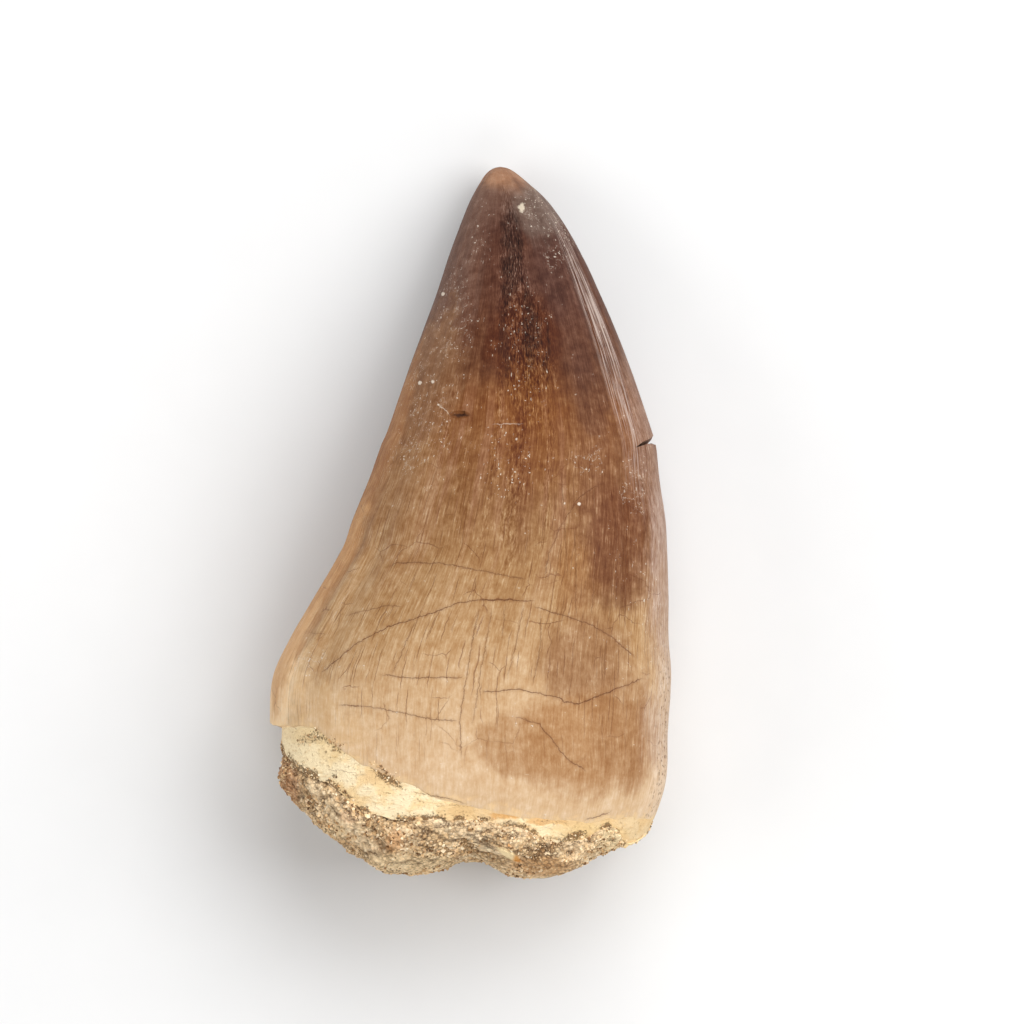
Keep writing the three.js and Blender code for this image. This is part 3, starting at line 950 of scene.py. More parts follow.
def place_round(x, distance, z):
    """Angle round the section, in radians, of points of the crown, and 1 on its skin or less inside it."""
    left, right, top, underside = stations(distance)
    widest = mix(underside, top, WIDEST)
    half_width = np.maximum((right - left) / 2, 0.01)
    across = (x - (left + right) / 2) / half_width
    height = np.where(z > widest, top - widest, widest - underside)
    up = (z - widest) / np.maximum(height, 0.01)
    fullness = np.where(z > widest, UPPER_FULLNESS, LOWER_FULLNESS)
    across = np.sign(across) * np.abs(across) ** (fullness / 2)
    up = np.sign(up) * np.abs(up) ** (fullness / 2)
    return np.arctan2(up, across), np.hypot(up, across)


def on_outer_face(x, y, shift):
    """The point of the outer face that lies at x and y, seen from above."""
    left, right, top, underside = stations(np.array(shift[1] - y))
    across = (x - shift[0] - (left + right) / 2) / ((right - left) / 2)
    widest = mix(underside, top, WIDEST)
    up = (1 - np.abs(across) ** UPPER_FULLNESS) ** (1 / UPPER_FULLNESS)
    return x, y, float(mix(widest, top, up))


def keep_places(tooth, shift):
    """Keeps where each vertex lies on the crown and by its cracks, and how thickly sand covers it."""
    x, y, z = vertices_of(tooth.data).T / MM
    distance = shift[1] - y
    angle, depth = place_round(x - shift[0], distance, z)
    degrees = np.degrees(angle)
    radius = max(right - left for _, left, right, _, _ in STATIONS) / 2
    around = np.stack([radius * np.cos(angle), radius * np.sin(angle), distance], axis=1)
    from_underside = np.where(degrees < -90, degrees + 360, degrees)
    upper = smooth(*UPPER_FACE, np.sin(angle))
    plan = np.stack([x, y], axis=1)
    store(tooth, "flow", around)
    store(tooth, "girth", np.stack([from_underside, distance, np.zeros_like(distance)], axis=1))
    store(tooth, "upper", upper)
    store(tooth, "to_margin", margin_of(ENAMEL_MARGIN, degrees % 360) - distance)
    to_rock = margin_of(DENTINE_MARGIN, degrees % 360) - distance
    patchy = smooth(*RIM_SAND_COVER, soft_noise(np.stack([x, y, z], axis=1), RIM_SAND_PATCH))
    rim_sand = smooth(*RIM_SAND, to_rock) * patchy * smooth(*ON_SKIN, depth)
    thin = THIN_CRUST * patch_cover(plan, THIN_CRUSTS, CRUST_EDGE)
    crusts = np.maximum(patch_cover(plan, CRUSTS, CRUST_EDGE), thin)
    store(tooth, "crust", np.maximum(crusts * upper, rim_sand))
    for number, cracks in enumerate([*CRACK_SETS, SCRATCHES]):
        offset, strength = crack_field(plan, cracks)
        store(tooth, f"crack_{number}", np.stack([offset, strength * upper, np.zeros_like(offset)], axis=1))


def make_tooth():
    rings = tooth_rings(column_angles())
    low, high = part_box("tooth")
    middle = (rings[..., 0].min() + rings[..., 0].max()) / 2
    shift = ((low.x + high.x) / 2 / MM - middle, high.y / MM)
    tip = np.array([STATIONS[0][1], 0, STATIONS[0][3]])
    points = np.vstack([tip, rings.reshape(-1, 3), break_middle()])
    tooth = new_piece("tooth_crown", to_frame(points, shift), skin_faces(len(rings)))
    tooth.data.materials.append(enamel_material(shift))
    tooth.data.materials.append(dentine_material())
    enamel_faces = COLUMNS * (CROWN_ROWS + LEDGE_ROWS)
    bare = np.arange(len(tooth.data.polygons)) >= enamel_faces
    tooth.data.polygons.foreach_set("material_index", bare.astype(np.int32))
    carve(tooth, notch_wedge())
    carve(tooth, chip_lens(tooth))
    keep_places(tooth, shift)
    smooth_shade(tooth, TOOTH_SHARP)
    return tooth, shift


def even_ball(name, cuts):
    """An even ball of radius 1."""
    mesh = bpy.data.meshes.new(name)
    shape = bmesh.new()
    bmesh.ops.create_icosphere(shape, subdivisions=cuts, radius=1)
    shape.to_mesh(mesh)
    shape.free()
    return mesh


def finer_outside(mesh, rounds):
    """Cuts the outer half of a ball finer, because its other half is hidden in the tooth."""
    shape = bmesh.new()
    shape.from_mesh(mesh)
    for _ in range(rounds):
        outer = [edge for edge in shape.edges if all(vertex.co.y < 0 for vertex in edge.verts)]
        bmesh.ops.subdivide_edges(shape, edges=outer, cuts=1, use_grid_fill=True)
    for vertex in shape.verts:
        vertex.co.normalize()
    bmesh.ops.triangulate(shape, faces=shape.faces[:])
    shape.to_mesh(mesh)
    shape.free()


def gravel_height(place):
    return lump_height(place * FLAKE, GRAVEL)


def rock_points(ball, shift):
    """The ball's points as the rock's: the half towards the tip lies in the break, the rest outside."""
    u, v, w = ball.T
    angle = np.degrees(np.arctan2(w, u)) % 360
    along = np.abs(v) ** (2 / ROCK_BLUNTNESS)
    tuck_along, tuck_in = ROCK_TUCK
    margin = margin_of(DENTINE_MARGIN, angle) - tuck_along
    rim = plain_skin(margin, angle, step_at(angle, ROCK_STEP) + tuck_in * smooth(TUCK_ENDS, 0, along))
    share = (1 - along**ROCK_BLUNTNESS) ** (1 / ROCK_BLUNTNESS)
    x = mix(ROCK_AXIS[0], rim[:, 0], share)
    z = mix(ROCK_AXIS[1], rim[:, 2], share)
    distance = mix(margin, margin_of(ROCK_END, x), along)
    place = np.stack([x, distance, z], axis=1)
    plan = to_frame(place, shift)[:, :2] / MM
    shards = patch_cover(plan, SHARDS, edge=0.2)
    rugged = 1 - ROCK_CALM * bell((angle + 180) % 360 - 180 - ROCK_CALM_ANGLE, ROCK_CALM_SPREAD)
    rough = lump_height(place, LUMPS) * smooth(0, LUMPS_FULL, along)
    rough += gravel_height(place) * smooth(0, GRAVEL_FULL, along) * (1 - shards)
    rough *= rugged
    on_top = SHARD_RISE * shards - HOLLOW_DEPTH * patch_cover(plan, HOLLOWS)
    rough += on_top * smooth(0, BULGE_FULL, along) * (w > 0)
    reach = share * (rough + ROCK_BULGE * rugged * smooth(0, BULGE_FULL, along))
    outward = np.stack([x - ROCK_AXIS[0], np.zeros_like(x), z - ROCK_AXIS[1]], axis=1)
    outward /= np.maximum(np.linalg.norm(outward, axis=1), 1e-6)[:, None]
    outside = place + outward * reach[:, None]
    outside[:, 1] += along * rough
    points = np.where((v > 0)[:, None], broken_face(rim, np.hypot(u, w)), outside)
    points[:, 2] = np.maximum(points[:, 2], ROCK_CLEARANCE)
    gravel = gravel_height(place) / sum(height for _, height in GRAVEL) + LUMP_MEAN
    return points, gravel - DARK_RIM * smooth(*DARK_RIM_FADE, along)


def make_rock(shift):
    mesh = even_ball("rock", ROCK_CUTS)
    finer_outside(mesh, OUTSIDE_CUTS)
    ball = vertices_of(mesh)
    points, gravel = rock_points(ball, shift)
    mesh.vertices.foreach_set("co", to_frame(points, shift).ravel())
    mesh.update()
    mesh.materials.append(rock_material())
    rock = linked("rock", mesh)
    plan = vertices_of(mesh)[:, :2] / MM
    covered = smooth(*BARE_CEMENT[:2], soft_noise(points, BARE_CEMENT[2]))
    store(rock, "grit", smooth(0.02, -0.02, ball[:, 1]) * (1 - patch_cover(plan, SHARDS)) * covered)
    store(rock, "gravel", gravel)
    store(rock, "shard", patch_cover(plan, SHARDS, edge=0.12))
    smooth_shade(rock, ROCK_SHARP)
    return rock


# ---- Sand grains ----


def grain_tree(cover_attribute, material):
    """Scatters small angular grains over a mesh, as densely as its cover attribute says."""
    tree = bpy.data.node_groups.new("sand_grains", "GeometryNodeTree")
    sockets = {}
    for label, kind in [
        ("Geometry", "NodeSocketGeometry"),
        ("Grains per mm2", "NodeSocketFloat"),
        ("Smallest grain", "NodeSocketFloat"),
        ("Largest grain", "NodeSocketFloat"),
        ("Rarity of large grains", "NodeSocketFloat"),
        ("Seed", "NodeSocketInt"),
    ]:
        sockets[label] = tree.interface.new_socket(label, in_out="INPUT", socket_type=kind).identifier
    tree.interface.new_socket("Geometry", in_out="OUTPUT", socket_type="NodeSocketGeometry")
    graph = Graph(tree)
    given = tree.nodes.new("NodeGroupInput").outputs
    cover = graph.node("GeometryNodeInputNamedAttribute", {"Name": cover_attribute}, data_type="FLOAT")
    per_area = graph.times(given["Grains per mm2"], MM**-2, cover)
    spread = graph.tree.nodes.new("GeometryNodeDistributePointsOnFaces")
    for socket, value in [("Mesh", given["Geometry"]), ("Density", per_area), ("Seed", given["Seed"])]:
        graph.feed(spread.inputs[socket], value)
    luck, squash, turn, tone, sunk = [graph.math("ADD", given["Seed"], number) for number in range(5)]
    rarity = graph.math("POWER", graph.random(0.0, 1.0, luck), given["Rarity of large grains"])
    size = graph.between_values(given["Smallest grain"], given["Largest grain"], rarity)
    depth = graph.times(size, graph.random(*GRAIN_SINKS, sunk))
    sink = graph.vector("SCALE", spread.outputs["Normal"], scale=graph.times(depth, -1.0))
    points = graph.node("GeometryNodeSetPosition", {"Geometry": spread.outputs["Points"], "Offset": sink})
    grain = graph.node("GeometryNodeMeshCube", {"Size": GRAIN_CUBE})
    smallest, largest = [(side,) * 3 for side in GRAIN_SIDES]
    shape = graph.vector("SCALE", graph.random(smallest, largest, squash), scale=size)
    grains = graph.node(
        "GeometryNodeInstanceOnPoints",
        {
            "Points": points,
            "Instance": grain,
            "Rotation": graph.random((0, 0, 0), (FULL_TURN,) * 3, turn),
            "Scale": shape,
        },
    )
    toned = graph.node(
        "GeometryNodeStoreNamedAttribute",
        {"Geometry": grains, "Name": "tone", "Value": graph.random(0.0, 1.0, tone)},
        data_type="FLOAT",
        domain="INSTANCE",
    )
    real = graph.node("GeometryNodeRealizeInstances", {"Geometry": toned})
    finished = graph.node("GeometryNodeSetMaterial", {"Geometry": real, "Material": material})
    tree.links.new(finished, tree.nodes.new("NodeGroupOutput").inputs["Geometry"])
    return tree, sockets


def scatter_grains(name, ground, cover_attribute, per_mm2, size, material):
    """A piece of grains stuck all over a part of the ground piece."""
    grains = linked(name, ground.data.copy())
    tree, sockets = grain_tree(cover_attribute, material)
    spread = grains.modifiers.new("grains", "NODES")
    spread.node_group = tree
    spread[sockets["Grains per mm2"]] = float(per_mm2)
    spread[sockets["Smallest grain"]] = size[0] * MM
    spread[sockets["Largest grain"]] = size[1] * MM
    spread[sockets["Rarity of large grains"]] = GRAIN_RARITY
    spread[sockets["Seed"]] = GRAIN_SEED
    mesh = evaluated_mesh(grains)
    grains.modifiers.clear()
    grains.data = mesh
    return grains


# ---- Node trees ----


def linear(colour):
    """A colour from 0 to 255 as the shaders' linear red, green, blue and alpha."""
    share = np.array(colour) / 255
    light = np.where(share <= 0.04045, share / 12.92, ((share + 0.055) / 1.055) ** 2.4)
    return (*light.tolist(), 1.0)


class Graph:
    """A node tree that is filled step by step: each call adds a node and hands back its output."""

    def __init__(self, tree):
        self.tree = tree

    def node(self, kind, inputs=None, output=0, **settings):
        made = self.tree.nodes.new(kind)
        for setting, value in settings.items():
            setattr(made, setting, value)
        for socket, value in (inputs or {}).items():
            self.feed(made.inputs[socket], value)
        return made.outputs[output]

    def feed(self, socket, value):
        if isinstance(value, bpy.types.NodeSocket):
            self.tree.links.new(value, socket)
        else:
            socket.default_value = value

    def math(self, operation, *values):
        return self.node("ShaderNodeMath", dict(enumerate(values)), operation=operation)

    def times(self, *values):
        """The product of its values."""
        product = values[0]
        for value in values[1:]:
            product = self.math("MULTIPLY", product, value)
        return product

    def vector(self, operation, *values, scale=1.0):
        inputs = dict(enumerate(values))
        if operation == "SCALE":
            inputs["Scale"] = scale
        return self.node("ShaderNodeVectorMath", inputs, operation=operation)

    def length(self, vector):
        return self.node("ShaderNodeVectorMath", {0: vector}, output="Value", operation="LENGTH")

    def split(self, vector):
        made = self.tree.nodes.new("ShaderNodeSeparateXYZ")
        self.feed(made.inputs[0], vector)
        return made.outputs

    def join(self, x, y, z):
        return self.node("ShaderNodeCombineXYZ", {0: x, 1: y, 2: z})

    def between(self, value, start, end):
        """0 before start, 1 past end, and smooth between them."""
        inputs = {"Value": value, "From Min": start, "From Max": end}
        return self.node("ShaderNodeMapRange", inputs, interpolation_type="SMOOTHSTEP")

    def spread(self, value, low, high):
        """A value from 0 to 1 laid out from low to high."""
        return self.node("ShaderNodeMapRange", {"Value": value, "To Min": low, "To Max": high})

    def between_values(self, low, high, share):
        """The value that lies at a share of the way from low to high."""
        return self.math("MULTIPLY_ADD", self.math("SUBTRACT", high, low), share, low)

    def attribute(self, name, output="Fac"):
        return self.node("ShaderNodeAttribute", attribute_name=name, output=output)

    def noise(self, place, per_mm, detail=3.0, roughness=0.55, output="Fac"):
        inputs = {"Vector": place, "Scale": per_mm, "Detail": detail, "Roughness": roughness}
        return self.node("ShaderNodeTexNoise", inputs, output=output)

    def random(self, low, high, seed):
        """A random value or vector for each instance, in a geometry tree."""
        several = isinstance(low, tuple)
        kind, first = ("FLOAT_VECTOR", 0) if several else ("FLOAT", 2)
        inputs = {first: low, first + 1: high, "Seed": seed}
        return self.node("FunctionNodeRandomValue", inputs, output=0 if several else 1, data_type=kind)

    def tint(self, colour, other, share):
        return self.node("ShaderNodeMix", {0: share, 6: colour, 7: other}, output=2, data_type="RGBA")

    def paint(self, colour, other, *shares):
        """Lays a colour of 0 to 255 over another, by the product of the shares."""
        return self.tint(colour, linear(other), self.times(*shares))

    def ramp(self, value, stops):
        made = self.tree.nodes.new("ShaderNodeValToRGB")
        self.feed(made.inputs[0], value)
        elements = made.color_ramp.elements
        elements[0].position, elements[0].color = stops[0][0], linear(stops[0][1])
        elements[1].position, elements[1].color = stops[-1][0], linear(stops[-1][1])
        for place, colour in stops[1:-1]:
            elements.new(place).color = linear(colour)
        return made.outputs[0]

    def group(self, name, **inputs):
        made = self.tree.nodes.new("ShaderNodeGroup")
        made.node_tree = bpy.data.node_groups[name]
        for label, value in inputs.items():
            self.feed(made.inputs[label.replace("_", " ")], value)
        return made.outputs[0]


def new_group(name, inputs, output="Mask"):
    """A shader node group with named inputs (their start values tell their kinds) and one value as output."""
    tree = bpy.data.node_groups.new(name, "ShaderNodeTree")
    for label, value in inputs.items():
        kind = "NodeSocketVector" if isinstance(value, tuple) else "NodeSocketFloat"
        tree.interface.new_socket(label, in_out="INPUT", socket_type=kind).default_value = value
    tree.interface.new_socket(output, in_out="OUTPUT", socket_type="NodeSocketFloat")
    given = tree.nodes.new("NodeGroupInput").outputs
    result = tree.nodes.new("NodeGroupOutput").inputs[output]
    return Graph(tree), given, result


def soft_patch_group():
    """An oval patch with a soft edge: 1 inside, 0 outside."""
    start = {"Place": (0, 0, 0), "Centre": (0, 0, 0), "Size": (1, 1, 1), "Edge": 0.3}
    graph, given, result = new_group("soft patch", start)
    apart = graph.vector("SUBTRACT", given["Place"], given["Centre"])
    far = graph.length(graph.vector("DIVIDE", apart, given["Size"]))
    outer = graph.math("ADD", 1.0, given["Edge"])
    inner = graph.math("SUBTRACT", 1.0, given["Edge"])
    graph.feed(result, graph.between(far, outer, inner))


def solid_within(graph, apart, width, edge):
    """1 close to a dot or line and 0 past its edge, which is given as two shares of its width."""
    gone, solid = edge
    return graph.between(apart, graph.times(width, gone), graph.times(width, solid))


def specks_group():
    """Small dots of uneven strength, about one to each square of the spacing, of which only a share shows."""
    start = {"Place": (0, 0, 0), "Spacing": 1.0, "Radius": 0.1, "Share": 0.5}
    graph, given, result = new_group("specks", start)
    cells = graph.tree.nodes.new("ShaderNodeTexVoronoi")
    graph.feed(cells.inputs["Vector"], given["Place"])
    graph.feed(cells.inputs["Scale"], graph.math("DIVIDE", 1.0, given["Spacing"]))
    chance, tone, _ = graph.split(cells.outputs["Color"])
    shown = graph.math("LESS_THAN", chance, given["Share"])
    apart = graph.times(cells.outputs["Distance"], given["Spacing"])
    radius = graph.times(given["Radius"], graph.spread(tone, *SPECK_SIZES))
    dot = solid_within(graph, apart, radius, SPECK_EDGE)
    strength = graph.times(shown, graph.spread(tone, *SPECK_STRENGTHS))
    graph.feed(result, graph.times(dot, strength))


def streaks_group():
    """Fine lines that run along the crown and draw together at its tip."""
    start = {"Flow": (0, 0, 0), "Lines per mm": 3.0, "Stretch": 12.0}
    graph, given, result = new_group("streaks", start, "Value")
    around_x, around_z, along = graph.split(given["Flow"])
    place = graph.join(around_x, around_z, graph.math("DIVIDE", along, given["Stretch"]))
    graph.feed(result, graph.noise(place, given["Lines per mm"], detail=3.0, roughness=0.6))


def hairline_group():
    """A hairline crack, from a field that holds the distance to it and its strength."""
    start = {"Field": (0, 0, 0), "Wander": 0.0, "Width": 0.08}
    graph, given, result = new_group("hairline", start)
    offset, strength, _ = graph.split(given["Field"])
    wandered = graph.math("ABSOLUTE", graph.math("ADD", offset, given["Wander"]))
    line = solid_within(graph, wandered, given["Width"], HAIRLINE_EDGE)
    graph.feed(result, graph.times(line, strength))


def long_cracks_group():
    """Hairline cracks along the crown, one in most stripes of its girth, each for a part of its length."""
    start = {"Girth": (0, 0, 0), "Wander": 0.0, "Spacing": 3.0, "Width": 0.15, "Rarity": 0.5}
    graph, given, result = new_group("long cracks", start)
    degrees, along, _ = graph.split(given["Girth"])
    stripes = graph.math("DIVIDE", graph.math("ADD", degrees, given["Wander"]), given["Spacing"])
    stripe = graph.math("FLOOR", stripes)
    luck = graph.node("ShaderNodeTexWhiteNoise", {"W": stripe}, noise_dimensions="1D")
    middle = graph.spread(luck, *LONG_CRACK_PLACES)
    apart = graph.math("ABSOLUTE", graph.math("SUBTRACT", graph.math("FRACT", stripes), middle))
    apart = graph.times(apart, given["Spacing"])
    line = solid_within(graph, apart, given["Width"], LONG_CRACK_EDGE)
    breaks_place = graph.join(graph.times(stripe, STRIPES_APART), graph.times(along, LONG_CRACK_BREAKS), 0.0)
    breaks = graph.noise(breaks_place, per_mm=1.0, detail=1.0)
    shown = graph.between(breaks, given["Rarity"], graph.math("ADD", given["Rarity"], LONG_CRACK_FADE))
    graph.feed(result, graph.times(line, shown))


def crazing_group():
    """A net of thin lines, with cells of about the given size."""
    start = {"Place": (0, 0, 0), "Cell": 1.0, "Width": 0.03}
    graph, given, result = new_group("crazing", start)
    inputs = {"Vector": given["Place"], "Scale": graph.math("DIVIDE", 1.0, given["Cell"])}
    edge = graph.node("ShaderNodeTexVoronoi", inputs, output="Distance", feature="DISTANCE_TO_EDGE")
    apart = graph.times(edge, given["Cell"])
    graph.feed(result, solid_within(graph, apart, given["Width"], CRAZE_EDGE))


def make_groups():
    soft_patch_group()
    specks_group()
    streaks_group()
    hairline_group()
    long_cracks_group()
    crazing_group()


# ---- Materials ----


def new_material(name, **shader_values):
    """A material with a Principled shader, whose even values are set on its own sockets."""
    material = bpy.data.materials.new(name)
    material.use_nodes = True
    graph = Graph(material.node_tree)
    shader = material.node_tree.nodes["Principled BSDF"].inputs
    for socket, value in shader_values.items():
        shader[socket.replace("_", " ")].default_value = value
    return material, graph, shader


def place_in_mm(graph):
    return graph.vector("SCALE", graph.node("ShaderNodeTexCoord", output="Object"), scale=1 / MM)


def unrest(graph, place, per_mm, detail=4.0):
    """A soft noise vector about zero, by which places are shaken so that marks get uneven outlines."""
    return graph.vector("SUBTRACT", graph.noise(place, per_mm, detail=detail, output="Color"), (0.5,) * 3)


def shaken(graph, place, noise, reach):
    return graph.vector("ADD", place, graph.vector("SCALE", noise, scale=reach))


def mark(graph, place, centre, half_width, half_height, edge):
    """A small mark on the outer face, about the point given as its centre."""
    size = (half_width, half_height, MARK_DEPTH)
    return graph.group("soft patch", Place=place, Centre=centre, Size=size, Edge=edge)


def oval(graph, place, x, y, half_width, half_height, edge):
    """A soft patch that reaches through the whole tooth."""
    size = (half_width, half_height, ANY_HEIGHT)
    return graph.group("soft patch", Place=place, Centre=(x, y, 0), Size=size, Edge=edge)


def specks(graph, place, spacing, radius, share):
    return graph.group("specks", Place=place, Spacing=spacing, Radius=radius, Share=share)


def streaks(graph, flow, per_mm, stretch):
    return graph.group("streaks", Flow=flow, Lines_per_mm=per_mm, Stretch=stretch)


def within(graph, along, starts, full, fades, ends):
    """1 on a stretch of the crown and 0 beyond it, with soft ends."""
    return graph.times(graph.between(along, starts, full), graph.between(along, ends, fades))


def paint_patches(graph, colour, place, patches, streak, fray=FRAY, cover=1.0):
    """Lays soft patches of colour over a colour; at its edge a patch frays a little along the streaks."""
    frayed = graph.spread(graph.between(streak, 0.35, 0.65), fray, -fray)
    for *where, patch_colour, strength in patches:
        mask = graph.math("ADD", oval(graph, place, *where), frayed)
        shape = graph.between(mask, fray, 1 - fray)
        colour = graph.paint(colour, patch_colour, shape, graph.times(cover, strength))
    return colour


def paint_masks(graph, colour, rows):
    """Lays colours over a colour, each where its mask shows: mask, colour, strength."""
    for mask, other, strength in rows:
        colour = graph.paint(colour, other, mask, strength)
    return colour


def crack_masks(graph, place):
    """The listed cracks of the crown, the stain beside them, and its scratches, as three masks."""
    sway = graph.noise(place, per_mm=1.7, detail=4.0, roughness=0.75)
    wander = graph.times(graph.math("SUBTRACT", sway, 0.5), CRACK_WANDER)
    openness = graph.spread(graph.noise(place, per_mm=0.9, detail=1.0), *CRACK_OPENNESS)
    cracks = stain = 0.0
    for number in range(len(CRACK_SETS)):
        field = graph.attribute(f"crack_{number}", "Vector")
        line = graph.group("hairline", Field=field, Wander=wander, Width=CRACK_WIDTH)
        beside = graph.group("hairline", Field=field, Wander=wander, Width=CRACK_STAIN_WIDTH)
        cracks = graph.math("MAXIMUM", cracks, line)
        stain = graph.math("MAXIMUM", stain, beside)
    field = graph.attribute(f"crack_{len(CRACK_SETS)}", "Vector")
    scratches = graph.group("hairline", Field=field, Wander=wander, Width=CRACK_WIDTH)
    return graph.times(cracks, openness), stain, scratches


def fine_cracks(graph, fields):
    """The many hairlines of the lower crown: most run along it, and a sparse net crosses it."""
    sway_x, _, sway_z = graph.split(fields.soft)
    wander = graph.times(graph.math("ADD", sway_x, sway_z), LONG_CRACK_WANDER)
    shape = {"Girth": fields.girth, "Wander": wander, "Width": LONG_CRACK_WIDTH}
    long_lines = 0.0
    for spacing, rarity in LONG_CRACKS:
        lines = graph.group("long cracks", **shape, Spacing=spacing, Rarity=rarity)
        long_lines = graph.math("MAXIMUM", long_lines, lines)
    net_place = shaken(graph, fields.place, fields.soft, CRAZE_SHAKE)
    net = graph.group("crazing", Place=net_place, Cell=CRAZE_CELL, Width=CRACK_WIDTH)
    shown = graph.between(graph.noise(fields.place, per_mm=0.33, detail=1.0), 0.52, 0.64)
    all_lines = graph.math("MAXIMUM", long_lines, graph.times(net, shown))
    return graph.times(all_lines, graph.times(within(graph, fields.along, *LOW_CROWN), fields.upper))


def any_oval(graph, place, ovals):
    """One mask for several soft ovals: x, y, half width, half height, strength."""
    cover = 0.0
    for *where, strength in ovals:
        mask = graph.times(oval(graph, place, *where, OVAL_EDGE), strength)
        cover = graph.math("MAXIMUM", cover, mask)
    return cover


def weighted_sum(graph, parts, total=0.0):
    """The sum of several masks or values, each times its weight: for a bump, its height in millimetres."""
    for mask, weight in parts:
        total = graph.math("MULTIPLY_ADD", mask, weight, total)
    return total


def deepen(graph, colour, parts):
    """Makes a colour deeper where the values are below their middle, and paler where they are above it."""
    depth = 1.0
    for value, weight in parts:
        depth = graph.math("MULTIPLY_ADD", graph.math("SUBTRACT", 0.5, value), weight, depth)
    return graph.node("ShaderNodeGamma", {"Color": colour, "Gamma": depth})


def finish_surface(graph, shader, colour, height, roughness):
    """Gives a shader its colour, its relief (a height in millimetres) and its roughness."""
    relief_normal = graph.node("ShaderNodeBump", {"Height": height, "Distance": MM, "Strength": 1.0})
    graph.feed(shader["Base Color"], colour)
    graph.feed(shader["Normal"], relief_normal)
    graph.feed(shader["Roughness"], roughness)


class EnamelFields:
    """What the enamel's colour and relief are worked out from: where a point lies, and the noises there."""

    def __init__(self, graph):
        self.place = place_in_mm(graph)
        self.flow = graph.attribute("flow", "Vector")
        self.girth = graph.attribute("girth", "Vector")
        self.upper = graph.attribute("upper")
        self.degrees, self.along, _ = graph.split(self.girth)
        self.past_tip = graph.between(self.along, *PAST_TIP)
        self.soft = unrest(graph, self.place, per_mm=0.5, detail=5.0)
        self.crisp = unrest(graph, self.place, per_mm=4.0, detail=2.0)
        self.ragged = shaken(graph, self.place, self.crisp, MARK_SHAKE)
        self.fine = streaks(graph, self.flow, *FINE_STREAKS)
        self.silk = streaks(graph, self.flow, *SILK_STREAKS)
        self.bands = streaks(graph, self.flow, *BROAD_BANDS)
        self.dashes = streaks(graph, self.flow, *DASHES)
        self.cloud = graph.noise(self.place, per_mm=1.3, detail=4.0, roughness=0.65)
        columns = any_oval(graph, shaken(graph, self.girth, self.soft, GIRTH_SHAKE), ROUGH_COLUMNS)
        self.rough = graph.times(columns, self.upper)
        # Band on the right crest that gets a painted highlight and a little more gloss.
        self.sheen_band = graph.times(oval(graph, self.girth, *SHEEN_BAND), self.past_tip)


def ground_colour(graph, fields):
    """Colour of the enamel without its marks: from the dark tip to the pale margin, with its soft patches,
    among them a painted sheen on the right flank and painted light on the lower left flank.
    """
    sway = graph.spread(fields.bands, -COLOUR_SHIFT, COLOUR_SHIFT)
    lift = graph.times(sway, graph.between(fields.along, *BANDS_SET_IN))
    uneven = graph.times(graph.split(fields.soft)[1], COLOUR_SHIFT)
    down = graph.math("ADD", graph.math("ADD", fields.along, lift), uneven)
    stops = [(distance / LENGTH, colour) for distance, colour in ENAMEL_COLOURS]
    colour = graph.ramp(graph.math("DIVIDE", down, LENGTH), stops)
    mauve = graph.times(graph.between(fields.bands, 0.5, 0.62), within(graph, fields.along, *MAUVE_STRETCH))
    colour = graph.paint(colour, MAUVE_BROWN, mauve, MAUVE_SHARE)
    streaky = graph.spread(graph.between(fields.fine, 0.4, 0.6), 0.45, 1.0)
    for place, reach, patches, fray, cover in [
        # The girth patches hold a pale one that is painted light on the lower left flank.
        (fields.girth, GIRTH_SHAKE, GIRTH_PATCHES, FRAY, 1.0),
        (fields.place, PLAN_SHAKE, PLAN_PATCHES, FINE_FRAY, fields.upper),
        # The right flank's pinkish grey, partly painted sheen.
        (fields.girth, FLANK_SHAKE, FLANK_TONE_AND_SHEEN, FINE_FRAY, streaky),
    ]:
        uneven_place = shaken(graph, place, fields.soft, reach)
        colour = paint_patches(graph, colour, uneven_place, patches, fields.bands, fray, cover)
    return colour


def streaked(graph, fields, colour):
    """Draws streaks, dashes, pale lines and the painted highlight of the right crest into the enamel's
    colour, and makes it creamy at its margin.
    """
    mid_crown = within(graph, fields.along, *MID_CROWN)
    depths = [
        (fields.fine, graph.times(graph.spread(mid_crown, *FINE_DEPTH), fields.past_tip)),
        (fields.dashes, graph.math("MULTIPLY_ADD", fields.rough, ROUGH_DEPTH, DASH_DEPTH)),
        (fields.cloud, CLOUD_DEPTH),
        (fields.bands, graph.times(fields.past_tip, BAND_DEPTH)),
    ]
    colour = deepen(graph, colour, depths)
    # Painted highlight: pale grey lines along the striations of the right crest.
    colour = graph.paint(colour, SHEEN_GREY, graph.between(fields.silk, 0.49, 0.6), fields.sheen_band, SHEEN_SHARE)
    pale_lines = graph.times(graph.between(fields.fine, 0.58, 0.68), graph.between(fields.cloud, 0.48, 0.6))
    paleness = graph.spread(graph.between(fields.along, *PALE_LINES_SET_IN), *PALENESS)
    colour = graph.paint(colour, MARGIN_CREAM, pale_lines, paleness)
    to_margin = graph.math("SUBTRACT", graph.attribute("to_margin"), CREAMY_WANDER / 2)
    to_margin = graph.math("MULTIPLY_ADD", fields.cloud, CREAMY_WANDER, to_margin)
    return graph.paint(colour, DENTINE_CREAM, graph.between(to_margin, *CREAMY_EDGE), CREAMY_SHARE)


